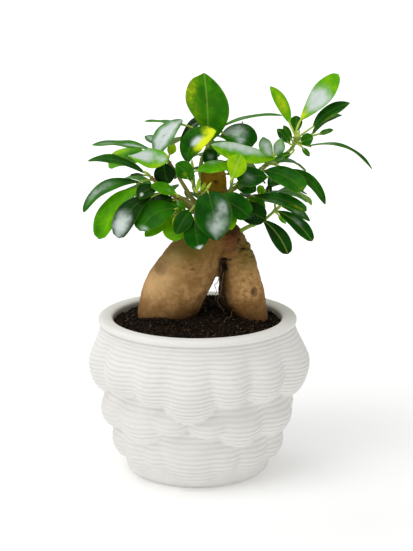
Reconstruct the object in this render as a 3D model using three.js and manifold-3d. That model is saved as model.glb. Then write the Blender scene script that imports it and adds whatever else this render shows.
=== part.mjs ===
// A ficus ginseng bonsai and the ribbed ceramic pot it grows in.
// Millimetres, +Z up. The origin is the centre of the pot's base, X runs to the right
// and Y away from the front.

import * as THREE from 'three';
import { mergeVertices } from 'three/addons/utils/BufferGeometryUtils.js';
import Module from 'manifold-3d';

const wasm = await Module();
wasm.setup();

// Driving dimensions
const clearance = 0.3; // between pieces that touch
const potHeight = 106;
const rimRadius = 66; // outside of the rolled rim
const mouthRadius = 56.6; // inside of the rolled rim
const footRadius = 46.5;
const floorThickness = 6;
const ribPitch = 3.05;
const ribDepth = 0.75;
const ribStart = 3.2; // height of the lowest groove
const ribCount = 31;
const soilLevel = 100.5;
const soilMound = 3.5;
const leafThickness = 0.7;
const stalkRadius = 0.75;
const smallStations = [0.35, 0.75]; // where a blade's outline is set, as shares of its length
const stations = [0.24, 0.57, 0.87];
const longStations = [0.18, 0.42, 0.68, 0.9];
const bladeFold = 0.14; // rise of a blade's edges for each millimetre of half width
const stumpHeight = 197; // centre of the sawn face
const stumpTilt = 43; // degrees that the sawn face leans back from the front
const neckX = 10.5;

const columns = 40; // round the pot
const soilColumns = 26;

const degrees = Math.PI / 180;

// Pot wall without its lobes: height, radius
const potWall = [
  [0, 46.5],
  [3, 47.6],
  [10, 49.2],
  [20, 51.6],
  [30, 55],
  [45, 58],
  [60, 60.6],
  [76, 62.6],
  [90, 63.4],
  [98, 64.2],
];

// Lobes that swell from the wall and hang in three tiers. Each has its azimuth from the
// front towards +X and half its width in degrees, the height of its fullest part, how
// far it stands out, and the height of its lower and upper edges.
const lobes = [
  [-128, 17, 75, 10.5, 53, 101],
  [-100, 17, 76, 10, 58, 101],
  [-75, 16, 77, 10.5, 59, 101],
  [-50, 15, 77, 9.5, 63, 101],
  [-28, 13, 75, 9, 60, 101],
  [-5, 17, 72, 10, 50, 101],
  [19, 13, 76, 9.5, 61, 101],
  [41, 13, 77, 10, 62, 101],
  [65, 15, 77, 12, 59, 101],
  [90, 16, 77, 13, 56, 101],
  [116, 15, 75, 11, 60, 101],
  [142, 17, 74, 10.5, 52, 101],
  [168, 15, 77, 10, 61, 101],
  [-156, 16, 76, 10.5, 58, 101],
  [-118, 15, 45, 6, 31, 62],
  [-92, 16, 46, 6.5, 33, 62],
  [-66, 14, 46, 6, 34, 62],
  [-38, 18, 46, 7, 30, 62],
  [-16, 11, 47, 6, 38, 60],
  [11, 12, 47, 6, 38, 60],
  [36, 17, 46, 7, 29, 62],
  [62, 14, 45, 6.5, 33, 62],
  [86, 15, 45, 6.5, 31, 62],
  [112, 16, 46, 6, 34, 62],
  [138, 14, 44, 6, 30, 62],
  [163, 15, 46, 6.5, 36, 62],
  [-170, 15, 45, 6, 31, 62],
  [-144, 15, 46, 6.5, 34, 62],
  [-105, 16, 21, 4.5, 8, 38],
  [-77, 15, 21, 4.5, 9, 38],
  [-50, 15, 22, 5, 9, 38],
  [-26, 14, 22, 4.5, 10, 40],
  [-4, 16, 22, 6, 4, 44],
  [22, 14, 22, 5, 10, 40],
  [47, 15, 21, 5, 9, 38],
  [74, 16, 21, 5.5, 9, 38],
  [102, 15, 21, 5, 8, 38],
  [130, 15, 22, 4.5, 10, 38],
  [157, 15, 21, 5, 8, 38],
  [-175, 15, 22, 4.5, 9, 38],
  [-150, 14, 21, 5, 10, 38],
  [-128, 13, 22, 4.5, 9, 38],
];

// The two swollen roots and the neck they join in: x, y, z, radius
const leftRoot = [
  [-23, 1, 80, 8],
  [-21.5, 0, 94, 13],
  [-20, -1, 106, 17],
  [-16.5, -1, 118, 20],
  [-9.5, -1, 133, 20],
  [-1, -1, 147, 17.5],
  [6, 0, 160, 13.5],
  [9.5, 0, 172, 11],
];
const rightRoot = [
  [42, -2, 78, 4.5],
  [39.5, -2, 92, 7.5],
  [36.5, -2, 105, 11],
  [31.5, -2, 118, 13.6],
  [28, -2, 131, 13.6],
  [26.5, -1, 143, 11.8],
  [22.5, 0, 154, 10.5],
  [16, 0, 164, 9.5],
];
const neck = [
  [7.5, 0, 164, 12],
  [neckX, 0, 178, 9.6],
  [neckX, 0, 194, 9.3],
  [neckX, 0, 212, 9.3],
];
// Swellings on the roots: x, y, z, radius, and its stretch in height
const knobs = [
  [17, -1, 150, 12.5, 1.15],
  [19.5, -9.5, 149, 6, 1.3],
  [26, -7, 161, 4.5, 1.2],
];

// Leafy shoots. A stem is a row of x, y, z, radius from its seat in the trunk to its tip.
// A leaf has its place along the stem from 0 to 1, the base and tip of its blade, the
// blade's width, the way its upper face looks, and how far its middle bows from straight.
const shoots = [
  {
    name: 'shoot_top',
    green: 0x3f8a1e,
    stem: [
      [6, 4, 191, 2],
      [2, 11, 199, 1.9],
      [3, 13.5, 208, 1.6],
      [8, 12, 219, 1.3],
      [14, 8, 229, 1],
    ],
    leaves: [
      [0.7, [6.8, 9, 220], [4.4, 0, 267], 27, [0.1, -1, 0.2], [1, -2, 0]],
      [1, [13, 8, 229.5], [-11, 9, 220], 12, [0, -0.35, 1], [0, 0, 8]],
      [1, [15, 8, 230.5], [55.3, 10, 238], 10, [0.05, 0.2, 1], [0, 0, 3]],
      [0.95, [13, 7, 227], [35, 5, 217], 17, [0.1, -0.7, 0.7], [2, 0, 4]],
      [0.8, [-4, 11, 230.5], [-34.5, 14, 233.5], 10, [0, 0.2, 1], [0, 0, 1]],
      [0.55, [9, 20, 212], [14, 46, 212], 17, [0.1, 0.1, 1], [0, 0, 5]],
      [0.8, [-2, 19, 220], [-18, 40, 213], 16, [-0.2, 0.2, 1], [0, 0, 4]],
      [0.9, [20, 14, 222], [36, 30, 214], 16, [0.3, 0.2, 1], [0, 0, 4]],
    ],
  },
  {
    name: 'shoot_crown',
    green: 0x6ba21f,
    stem: [
      [5, -4, 186, 1.8],
      [-1.5, -11, 192, 1.6],
      [-2.5, -12, 199, 1.4],
      [-3, -11, 206, 1.1],
    ],
    leaves: [
      [1, [-2.7, -10, 211.5], [12.2, -8, 229.5], 15, [-0.4, -0.75, 0.5], [-5, 0, 5]],
      [0.8, [-1, -14, 205.5], [20.5, -13, 207], 11, [0, -0.5, 0.85], [0, 0, 1]],
      [0.7, [-5, -15, 200], [-13, -20, 212], 12, [-0.2, -0.9, 0.4], [1, 0, 1]],
    ],
  },
  {
    name: 'shoot_upper_left',
    green: 0x4c8d22,
    stem: [
      [3.5, -3, 179, 2],
      [-3, -9, 186, 1.9],
      [-9.2, -10, 196, 1.6],
      [-13.5, -9, 203, 1.4],
      [-18, -9, 210, 1.2],
      [-22, -8, 215, 1],
    ],
    leaves: [
      [1, [-25, -10, 212], [-9.5, -3, 236], 16, [-0.5, -0.75, 0.5], [-2.5, 0, 1.5]],
      [0.95, [-23, -13, 209.5], [-44, -20, 217], 14, [-0.1, -0.75, 0.65], [0, 0, 1]],
      [0.9, [-29, 0, 216.5], [-69, 8, 218.7], 13, [0, -0.15, 1], [0, 0, 2.5]],
      [0.8, [-30, 4, 210], [-57, 18, 206.5], 15, [0, -0.5, 0.85], [0, 0, 3]],
      [0.8, [-21, -14, 209], [-17, -14.5, 199], 12, [0.1, -0.95, 0.3], [-1, -1, 0]],
      [1, [-23, -4, 220], [-33, 3, 226], 9, [0, -0.2, 1], [0, 0, 1]],
    ],
  },
  {
    name: 'shoot_left',
    green: 0x3c8420,
    stem: [
      [4, -3, 172, 2.3],
      [-2, -9.5, 178, 2.2],
      [-8, -14, 184, 1.9],
      [-14, -17, 189, 1.6],
      [-22, -19, 195, 1.4],
      [-29.5, -18, 202, 1.1],
    ],
    leaves: [
      [1, [-34.5, -16, 205], [-69, -17, 213.5], 10, [0, -0.45, 1], [0, 0, 4.5]],
      [0.95, [-37, -18, 199], [-73, -24, 180.5], 12, [-0.3, -0.5, 0.8], [-4, 0, 6]],
      [1, [-33, -21, 204], [-42.5, -28, 205], 5, [0, -0.2, 1], [0, 0, 0.5]],
      [0.8, [-26, -23, 196], [-37.5, -30, 188], 13, [-0.3, -0.7, 0.6], [-1, -1, 2.5]],
      [0.75, [-36, -20, 193.5], [-64, -28, 163], 14, [-0.4, -0.8, 0.45], [-7, 0, 5]],
      [0.65, [-29, -24, 189.5], [-52.5, -34, 166], 15, [-0.3, -0.8, 0.5], [-4, -2, 5]],
      [0.6, [-13, -24, 192], [-29, -25, 197], 9, [0, -0.7, 0.7], [0, 0, 1]],
      [0.5, [-13, -25, 188], [-34, -33, 180.5], 13, [-0.2, -0.7, 0.7], [0, 0, 2.5]],
    ],
  },
  {
    name: 'shoot_lower_left',
    green: 0x3f8f1c,
    stem: [
      [1, -5, 163, 1.8],
      [-5, -14, 169, 1.7],
      [-10, -18, 175, 1.4],
      [-13, -19, 180, 1.1],
    ],
    leaves: [
      [1, [-15, -23, 183], [-38, -35, 171], 18, [-0.2, -0.8, 0.6], [-2, 0, 4]],
      [0.8, [-15, -20, 176], [-33, -29, 163.5], 10, [-0.2, -0.8, 0.6], [0, 0, 1]],
      [0.6, [-12, -20, 176], [-14, -27, 161.5], 16, [-0.2, -0.95, 0.2], [-1, -2, 0]],
    ],
  },
  {
    name: 'shoot_front',
    green: 0x14521c,
    stem: [
      [8, -3.5, 178, 1.9],
      [4, -12, 184, 1.8],
      [3, -16, 189, 1.5],
      [6, -18, 194, 1.2],
    ],
    leaves: [
      [0.5, [-2, -22, 184], [-13, -33, 171], 15, [-0.1, -0.85, 0.5], [0, -2, 2]],
      [0.6, [-4, -27, 178], [0.6, -36, 158], 16, [0, -0.95, 0.3], [-0.5, -2, 0]],
      [0.9, [5, -23, 196], [12, -37, 164], 24, [-0.1, -0.9, 0.4], [1, -3, 1]],
      [1, [14, -20, 193.5], [37, -27, 184], 17, [0.1, -0.8, 0.6], [0, -1, 3]],
      [0.8, [16, -19, 187], [22, -29, 174], 12, [0.2, -0.9, 0.4], [0, -1, 1]],
    ],
  },
  {
    name: 'shoot_crown_right',
    green: 0x8fb62a,
    stem: [
      [15, -4, 183, 1.7],
      [21, -9, 190, 1.5],
      [22.5, -10, 198, 1.2],
    ],
    leaves: [
      [1, [23.5, -13, 199.5], [29, -20, 213], 10, [-0.2, -0.9, 0.4], [0, 0, 0]],
      [0.7, [24, -14, 194], [38, -20, 189], 11, [0.1, -0.85, 0.5], [0, -1, 1]],
    ],
  },
  {
    name: 'shoot_right_top',
    green: 0x5f9d2b,
    stem: [
      [15.5, 1, 186, 2.1],
      [24, 1, 191, 2],
      [36, 0, 199, 1.8],
      [43, 1, 205, 1.7],
      [48, 2, 209, 1.5],
      [55, 3, 212, 1.4],
      [62, 2, 218, 1.3],
      [64.5, 2, 224, 1.1],
    ],
    leaves: [
      [1, [60, 1.5, 234], [47, -2, 258.5], 8.5, [0.3, -0.95, 0.2], [1.5, 0, 0.5]],
      [1, [67, 2, 236], [91, 0, 266.3], 14, [-0.4, -0.85, 0.3], [0, -1, 0]],
      [1, [64, 5, 227], [65, 14, 237], 8.5, [0, -0.9, 0.4], [0, 0, 1]],
      [1, [75, 0, 232], [98.5, -2, 247.8], 9.5, [-0.3, -0.75, 0.6], [-1.5, 0, 2]],
      [1, [75, 3, 227], [94.5, 3, 237.4], 7, [-0.3, 0.05, 0.9], [-1, 0, 3]],
      [0.98, [79, 4, 226.5], [88.5, 4, 229.5], 5, [0, -0.5, 0.8], [0, 0, 0]],
      [1, [67, -1, 222], [75, -6, 225.5], 8.5, [0.1, -0.9, 0.4], [0, -0.5, 0.5]],
      [0.93, [72, 0, 219.5], [113.4, -6, 205.3], 7, [0.2, 0.1, 1], [3, 0, 7]],
      [0.93, [68, -2, 219], [72.8, -5, 213.5], 4, [0.2, -0.8, 0.5], [0, 0, 0]],
      [0.93, [60, -1, 221], [51.6, -4, 231], 6.5, [-0.2, -0.9, 0.4], [0.5, 0, 0.5]],
      [0.96, [61.5, 1, 223], [56, 2, 232.5], 4.5, [-0.2, -0.9, 0.4], [0, 0, 0.5]],
      [0.68, [48.5, -2, 211.5], [44.5, -6, 225.5], 14, [0.2, -0.95, 0.3], [0, 0, 0]],
      [0.75, [51.5, -1, 211], [9, -14, 222.5], 14, [-0.1, -0.7, 0.7], [0, 0, -1.5]],
      [0.45, [45, -6, 205], [69, -24, 194.5], 14, [0.2, -0.75, 0.6], [1, 0, 3]],
      [0.5, [58, 4, 203], [84, 4, 180], 10, [0.5, -0.6, 0.6], [3, 0, 4]],
      [0.4, [40.5, -6, 204], [40, -28, 193.5], 19, [-0.1, -0.6, 0.8], [0, -1, 3]],
      [0.5, [52, 12, 206], [72, 26, 198], 14, [0.3, 0, 1], [0, 0, 4]],
    ],
  },
  {
    name: 'shoot_right',
    green: 0x1f6a1c,
    stem: [
      [17, -2, 176, 1.9],
      [25, -6, 181, 1.7],
      [33, -8, 186, 1.4],
      [43, -6, 188, 1.1],
    ],
    leaves: [
      [0.75, [37, -12, 188], [71, -28, 182], 14, [0.1, -0.6, 0.8], [0, 0, 3]],
      [1, [48, -2, 189], [67, 2, 184.5], 10, [0.1, -0.4, 1], [0, 0, 2.5]],
      [1, [46.5, -5, 189], [47, -4, 194.5], 4, [0, -1, 0.2], [0, 0, 0]],
      [0.8, [40, -9, 189], [42.8, -12, 195], 6, [-0.2, -0.9, 0.3], [0, 0, 0.5]],
      [0.6, [28, -16, 182.5], [46, -23, 178], 12, [0.1, -0.85, 0.5], [0, -1, 1]],
      [0.9, [47, 3, 191], [60, 21, 193], 13, [0.3, 0, 1], [0, 0, 3]],
    ],
  },
  {
    name: 'shoot_lower_right',
    green: 0x3b7a22,
    stem: [
      [17, -2, 157, 1.5],
      [26, -7, 163, 1.4],
      [33, -9, 167.5, 1.2],
      [42.5, -11, 172, 1.1],
      [51, -10, 179, 0.9],
    ],
    leaves: [
      [0.75, [44, -13, 171.5], [60, -27, 153], 12.5, [0.2, -0.95, 0.3], [1.5, 0, 1.5]],
      [1, [52, -12, 178.5], [73, -25, 161], 11, [0.3, -0.8, 0.5], [1.5, 0, 2]],
      [1, [53, -7, 180], [74.5, -7, 170], 7, [0.3, -0.1, 1], [0, 0, 1.5]],
      [0.97, [52.5, -13, 176.5], [57.5, -15, 171], 3.5, [0.2, -0.9, 0.3], [0, 0, 0]],
      [0.6, [38, -11, 172], [44, -13, 174], 4, [0, -0.9, 0.4], [0, 0, 0]],
    ],
  },
];

// Back shoots, which the front of the crown hides. Their leaves stand to the left and the
// right of the stem by turns: the lowest open by spread degrees, the last point ahead.
const backShoots = [
  {
    name: 'shoot_back_left',
    green: 0x2f7a22,
    stem: [
      [4.5, 3, 174, 2],
      [-4, 12, 179, 1.8],
      [-15, 20, 183, 1.5],
      [-26, 27, 186, 1.1],
    ],
    count: 6,
    spread: 75,
    rise: 0.1,
    seed: 47,
  },
  {
    name: 'shoot_back',
    green: 0x35802a,
    stem: [
      [11, 5, 186, 2.1],
      [12, 17, 194, 1.8],
      [13, 29, 199, 1.5],
      [13, 41, 202, 1.1],
    ],
    count: 6,
    spread: 80,
    rise: 0.15,
    seed: 47,
  },
  {
    name: 'shoot_back_right',
    green: 0x2c7420,
    stem: [
      [16, 4, 170, 2],
      [26, 12, 174, 1.8],
      [37, 20, 177, 1.5],
      [48, 27, 179, 1.1],
    ],
    count: 6,
    spread: 60,
    rise: 0.1,
    seed: 36,
  },
  {
    name: 'shoot_back_low',
    green: 0x3a8424,
    stem: [
      [9, 7, 160, 1.8],
      [9, 18, 162, 1.6],
      [8, 30, 165, 1.3],
      [7, 40, 165, 1],
    ],
    count: 6,
    spread: 80,
    rise: 0.1,
    seed: 36,
  },
];

function solidFrom(geometry) {
  const bare = geometry.clone();
  bare.deleteAttribute('normal');
  bare.deleteAttribute('uv');
  const merged = mergeVertices(bare, 1e-3);
  const index = merged.index.array;
  const kept = [];
  for (let i = 0; i < index.length; i += 3) {
    const [a, b, c] = [index[i], index[i + 1], index[i + 2]];
    if (a !== b && b !== c && c !== a) kept.push(a, b, c);
  }
  return new wasm.Manifold(
    new wasm.Mesh({
      numProp: 3,
      vertProperties: new Float32Array(merged.attributes.position.array),
      triVerts: new Uint32Array(kept),
    }),
  );
}

// The one body that a join grew into: scraps are dropped and sealed hollows are filled
function wholeBody(solid) {
  const bodies = solid.decompose();
  return bodies.reduce((best, body) => (body.volume() > best.volume() ? body : best));
}

function meshFrom(solid, name, material) {
  const data = solid.getMesh();
  const geometry = new THREE.BufferGeometry();
  geometry.setAttribute('position', new THREE.BufferAttribute(data.vertProperties, 3));
  geometry.setIndex(new THREE.BufferAttribute(data.triVerts, 1));
  geometry.computeVertexNormals();
  const mesh = new THREE.Mesh(geometry, material);
  mesh.name = name;
  return mesh;
}

function vector([x, y, z]) {
  return new THREE.Vector3(x, y, z);
}

// A closed round bar along a row of x, y, z, radius. swell makes it thicker and starts
// it lower by the same amount, which is the shape of the hole it stands in.
function taperedBar(row, sides, steps, swell = 0) {
  const points = row.map(vector);
  const back = points[0].clone().sub(points[1]).setLength(swell);
  points[0].add(back);
  const path = new THREE.CatmullRomCurve3(points);
  const width = new THREE.CatmullRomCurve3(row.map((p) => new THREE.Vector3(p[3], 0, 0)));
  const bar = new THREE.CylinderGeometry(1, 1, 1, sides, steps);
  const place = bar.attributes.position;
  const side = new THREE.Vector3();
  const ahead = new THREE.Vector3();
  for (let i = 0; i < place.count; i += 1) {
    const along = place.getY(i) + 0.5;
    const radius = width.getPoint(along).x + swell;
    const centre = path.getPoint(along);
    const tangent = path.getTangent(along);
    side.set(1, 0, 0).addScaledVector(tangent, -tangent.x).normalize();
    ahead.crossVectors(side, tangent);
    centre.addScaledVector(side, place.getX(i) * radius);
    centre.addScaledVector(ahead, place.getZ(i) * radius);
    place.setXYZ(i, centre.x, centre.y, centre.z);
  }
  return solidFrom(bar);
}

// Half the width of a blade from its base to its pointed tip, as a share of the widest
function outline(along) {
  return Math.sin(Math.PI * along ** 1.12) ** 0.62;
}

// One leaf, closed all round: a stalk from inside the stem, then a thin arched blade,
// folded a little along its midrib. Each ring of six points runs across the upper face
// and back across the lower one.
function leafSolid(start, base, tip, width, face, bow) {
  const crown = base.clone().lerp(tip, 0.5).addScaledVector(bow, 2);
  const midrib = new THREE.QuadraticBezierCurve3(base, crown, tip);
  const length = base.distanceTo(tip);
  const places = [];
  const addRing = (centre, ahead, reach, half, fold) => {
    const across = new THREE.Vector3().crossVectors(face, ahead).normalize();
    const normal = new THREE.Vector3().crossVectors(ahead, across);
    for (const level of [half, -half]) {
      for (const share of [-1, 0, 1]) {
        const place = centre.clone().addScaledVector(across, share * reach);
        place.addScaledVector(normal, level + Math.abs(share) * reach * fold);
        places.push(place.x, place.y, place.z);
      }
    }
  };
  const stalk = base.clone().sub(start).normalize();
  addRing(start, stalk, stalkRadius, stalkRadius, 0);
  addRing(base, midrib.getTangent(0), stalkRadius, stalkRadius * 0.7, 0);
  for (const along of length < 16 ? smallStations : length < 38 ? stations : longStations) {
    const reach = (width / 2) * outline(along);
    addRing(midrib.getPoint(along), midrib.getTangent(along), reach, leafThickness / 2, bladeFold);
  }
  places.push(tip.x, tip.y, tip.z);
  const last = places.length / 3 - 1;
  const order = [0, 1, 2, 5, 4, 3];
  const end = last - 6;
  const faces = [0, 1, 3, 1, 4, 3, 1, 2, 4, 2, 5, 4];
  for (let i = 0; i < 6; i += 1) {
    const side = order[i];
    const next = order[(i + 1) % 6];
    for (let ring = 0; ring < end; ring += 6) {
      const [a, b, c, d] = [ring + side, ring + next, ring + side + 6, ring + next + 6];
      // Both faces are split alike, from an edge here to the midrib ahead
      if (side % 3 === 1) faces.push(a, c, b, c, d, b);
      else faces.push(a, c, d, a, d, b);
    }
    faces.push(last, end + next, end + side);
  }
  const geometry = new THREE.BufferGeometry();
  geometry.setAttribute('position', new THREE.Float32BufferAttribute(places, 3));
  geometry.setIndex(faces);
  return solidFrom(geometry);
}

// Leaves by turns to the left and right of a stem, a little different by a seeded draw
function fanLeaves({ stem, count, spread, rise, seed }) {
  let state = seed * 7919;
  const draw = () => {
    state = (state * 16807) % 2147483647;
    return state / 2147483647;
  };
  draw();
  const path = new THREE.CatmullRomCurve3(stem.map(vector));
  const heading = vector(stem[stem.length - 1]).sub(vector(stem[0]));
  const ahead = Math.atan2(heading.y, heading.x);
  const leaves = [];
  for (let i = 0; i < count; i += 1) {
    const along = i / (count - 1);
    const turn = (i % 2 ? 1 : -1) * spread * (1 - along) + 16 * (draw() - 0.5);
    const angle = ahead + turn * degrees;
    const out = new THREE.Vector3(Math.cos(angle), Math.sin(angle), rise + 0.5 * (draw() - 0.4));
    out.normalize();
    const at = 0.5 + 0.5 * along;
    const base = path.getPoint(at).addScaledVector(out, 6 + 3 * draw());
    const tip = base.clone().addScaledVector(out, 24 + 8 * draw());
    tip.z -= 5 + 10 * draw();
    const face = [0.5 * out.x, 0.5 * out.y, 1];
    leaves.push([at, base.toArray(), tip.toArray(), 13 + 4 * draw(), face, [0, 0, 3 + 3 * draw()]]);
  }
  return leaves;
}

// One leafy shoot: its stem with each leaf grown into it
function shootSolid({ stem, leaves }) {
  const path = new THREE.CatmullRomCurve3(stem.map(vector));
  let grown = taperedBar(stem, 6, stem.length);
  for (const [at, base, tip, width, face, bow] of leaves) {
    const [from, to] = [vector(base), vector(tip)];
    grown = grown.add(leafSolid(path.getPoint(at), from, to, width, vector(face), vector(bow)));
  }
  return wholeBody(grown);
}

function wallRadius(height) {
  for (let i = 1; i < potWall.length; i += 1) {
    const [low, lowRadius] = potWall[i - 1];
    const [high, highRadius] = potWall[i];
    if (height <= high) {
      return lowRadius + ((highRadius - lowRadius) * (height - low)) / (high - low);
    }
  }
  return potWall[potWall.length - 1][1];
}

// How far the fullest lobe stands out of the wall at an azimuth in degrees and a height
function lobeSwell(azimuth, height) {
  let swell = 0;
  for (const [centre, half, full, depth, low, high] of lobes) {
    const turn = ((((azimuth - centre) % 360) + 540) % 360) - 180;
    const across = turn / (half * 1.35);
    const up = height > full ? (height - full) / (high - full) : (full - height) / (full - low);
    const away = across * across + up * up;
    if (away < 1) swell = Math.max(swell, depth * Math.sqrt(1 - away));
  }
  return swell;
}

// The pot: turned wall and rim, with its lobes and level ribs raised by a formula
function potSolid() {
  const profile = [new THREE.Vector2(0, 0), new THREE.Vector2(footRadius, 0)];
  const ribRows = ribCount * 2 + 1;
  for (let row = 0; row < ribRows; row += 1) {
    profile.push(new THREE.Vector2(1, ribStart + (row * ribPitch) / 2));
  }
  const rimPoints = [
    [65.2, 99.2],
    [rimRadius, 101.5],
    [65, 104.4],
    [62, potHeight],
    [58.4, 105],
    [mouthRadius, 102.4],
    [mouthRadius - 0.4, 96],
    [48, 40],
    [41, floorThickness],
    [0, floorThickness],
  ];
  for (const [radius, height] of rimPoints) profile.push(new THREE.Vector2(radius, height));
  const lathe = new THREE.LatheGeometry(profile, columns);
  const place = lathe.attributes.position;
  const firstRib = 2;
  const lastRib = firstRib + ribRows - 1;
  for (let i = 0; i < place.count; i += 1) {
    const row = i % profile.length;
    if (row < firstRib || row > lastRib) continue;
    const height = place.getY(i);
    const around = Math.atan2(place.getX(i), place.getZ(i));
    const swell = lobeSwell(around / degrees, height);
    const ribbed = height > 14 || swell > 0;
    const groove = (row - firstRib) % 2 === 0 && ribbed;
    const radius = wallRadius(height) + swell - (groove ? ribDepth : 0);
    place.setXYZ(i, radius * Math.sin(around), height, radius * Math.cos(around));
  }
  lathe.rotateX(Math.PI / 2);
  return solidFrom(lathe);
}

function rootSwell(extra) {
  const bars = [
    taperedBar(leftRoot, 16, 9, extra),
    taperedBar(rightRoot, 12, 9, extra),
    taperedBar(neck, 12, 4, extra),
  ];
  for (const [x, y, z, radius, stretch] of knobs) {
    const knob = new THREE.SphereGeometry(radius + extra, 7, 5);
    knob.scale(1, 1, stretch);
    knob.translate(x, y, z);
    bars.push(solidFrom(knob));
  }
  return bars.reduce((joined, bar) => joined.add(bar));
}

// The sawn face: everything of the neck in front of and above a leaning plane goes
function sawCut() {
  const block = new THREE.BoxGeometry(60, 60, 40);
  block.translate(0, 0, 20);
  block.rotateX((90 - stumpTilt) * degrees);
  block.translate(neckX, 0, stumpHeight);
  return solidFrom(block);
}

function trunkSolid(stems) {
  let trunk = rootSwell(0).subtract(sawCut());
  for (const stem of stems) {
    trunk = trunk.subtract(taperedBar(stem, 6, stem.length, clearance));
  }
  return wholeBody(trunk);
}

// Soil fills the pot and rises a little towards the roots, with small clods on top
function soilSolid() {
  const top = [
    [54.8, soilLevel],
    [50, soilLevel + 0.6],
    [40, soilLevel + 1.6],
    [28, soilLevel + 2.6],
    [14, soilLevel + 3.2],
    [0, soilLevel + soilMound],
  ];
  const wall = [
    [0, floorThickness + clearance],
    [41 - clearance, floorThickness + clearance],
    [48 - clearance, 40],
  ];
  const profile = [...wall, ...top].map(([radius, height]) => new THREE.Vector2(radius, height));
  const lathe = new THREE.LatheGeometry(profile, soilColumns);
  const place = lathe.attributes.position;
  for (let i = 0; i < place.count; i += 1) {
    const row = i % profile.length;
    if (row < wall.length || row === profile.length - 1) continue;
    const x = place.getX(i);
    const y = place.getZ(i);
    const clod = Math.sin(x * 0.9) * Math.cos(y * 1.1) + Math.sin(x * 0.37 + y * 0.53);
    place.setY(i, place.getY(i) + 0.45 * clod);
  }
  lathe.rotateX(Math.PI / 2);
  return wholeBody(solidFrom(lathe).subtract(rootSwell(clearance)));
}

const ceramic = new THREE.MeshStandardMaterial({ color: 0xf1eeea, roughness: 0.62 });
const earth = new THREE.MeshStandardMaterial({ color: 0x2a241b, roughness: 0.95 });
const bark = new THREE.MeshStandardMaterial({ color: 0x8d6b45, roughness: 0.8 });

const everyShoot = [
  ...shoots,
  ...backShoots.map((shoot) => ({ ...shoot, leaves: fanLeaves(shoot) })),
];

const bonsai = new THREE.Group();
bonsai.add(meshFrom(potSolid(), 'pot', ceramic));
bonsai.add(meshFrom(soilSolid(), 'soil', earth));
bonsai.add(meshFrom(trunkSolid(everyShoot.map((shoot) => shoot.stem)), 'trunk', bark));
for (const shoot of everyShoot) {
  const leafGreen = new THREE.MeshStandardMaterial({ color: shoot.green, roughness: 0.4 });
  bonsai.add(meshFrom(shootSolid(shoot), shoot.name, leafGreen));
}

export default bonsai;
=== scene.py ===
# %% [markdown]
# # A ficus ginseng bonsai in a ribbed white pot
# A ginseng fig is a small-leaved fig whose roots have swollen like carrots. The roots are
# lifted out of the soil, the trunk is sawn off short and leafy shoots are grafted round
# the cut. This lesson dresses a plain solid model of one: it gives the pot its fine ribs,
# the roots their bark, and each leaf its curve, veins, soft gloss and a painted sheen.

# %% Load the solid model as a fixed frame
import math

import bmesh
import bpy
import numpy as np
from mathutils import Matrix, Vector, noise


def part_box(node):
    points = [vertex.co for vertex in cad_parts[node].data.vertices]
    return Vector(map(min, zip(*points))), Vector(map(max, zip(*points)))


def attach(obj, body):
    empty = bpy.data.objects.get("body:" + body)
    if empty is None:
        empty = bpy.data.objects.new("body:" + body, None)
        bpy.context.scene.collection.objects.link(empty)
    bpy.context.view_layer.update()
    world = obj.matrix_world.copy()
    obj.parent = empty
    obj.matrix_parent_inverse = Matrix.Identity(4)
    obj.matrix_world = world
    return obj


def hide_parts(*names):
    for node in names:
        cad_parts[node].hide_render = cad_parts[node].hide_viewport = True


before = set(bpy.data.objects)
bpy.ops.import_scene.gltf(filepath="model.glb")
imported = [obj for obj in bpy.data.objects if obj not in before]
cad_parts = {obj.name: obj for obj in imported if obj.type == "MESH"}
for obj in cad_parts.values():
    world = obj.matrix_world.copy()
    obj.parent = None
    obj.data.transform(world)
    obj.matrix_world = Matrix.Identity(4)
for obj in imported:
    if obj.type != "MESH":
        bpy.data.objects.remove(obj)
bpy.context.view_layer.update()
MM = 0.001  # Blender works in metres and the sizes below are in millimetres

# %% [markdown]
# ## Colour, nodes and materials
# A few small helpers carry the whole lesson. The first turns the colour codes that a picture
# program shows into the linear values that light is added up in. The second adds one node
# of any kind, with its settings and its inputs. The last two open and close a material, so
# that each finish below only has to say what is special about it.

# %% Colour and node helpers
def linear(code):
    """The linear RGBA of an sRGB colour written as hex."""
    shares = [((code >> shift) & 255) / 255 for shift in (16, 8, 0)]
    return tuple(s / 12.92 if s <= 0.04045 else ((s + 0.055) / 1.055) ** 2.4 for s in shares) + (1,)


def add(tree, kind, settings=None, inputs=None):
    """A new node with its settings. An input is a value, a socket, or a node whose result it takes."""
    node = tree.nodes.new(kind)
    for name, value in (settings or {}).items():
        setattr(node, name, value)
    for name, value in (inputs or {}).items():
        if isinstance(value, bpy.types.Node):
            value = next(socket for socket in value.outputs if socket.enabled)
        if isinstance(value, bpy.types.NodeSocket):
            tree.links.new(value, node.inputs[name])
        else:
            node.inputs[name].default_value = value
    return node


def new_material(name):
    """A new material, its tree, and where a point lies on the piece that wears it."""
    material = bpy.data.materials.new(name)
    material.use_nodes = True
    tree = material.node_tree
    tree.nodes.clear()
    return material, tree, add(tree, "ShaderNodeTexCoord").outputs["Object"]


def close_material(tree, inputs, relief=None):
    """Ends a material with its shader. Relief is a strength, a depth in millimetres and a height."""
    if relief:
        strength, depth, height = relief
        bump = {"Strength": strength, "Distance": depth * MM, "Height": height}
        inputs = {**inputs, "Normal": add(tree, "ShaderNodeBump", None, bump)}
    shader = add(tree, "ShaderNodeBsdfPrincipled", None, inputs)
    add(tree, "ShaderNodeOutputMaterial", None, {"Surface": shader})


print("white:", linear(0xFFFFFF), "mid grey:", round(linear(0x808080)[0], 3))


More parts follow.
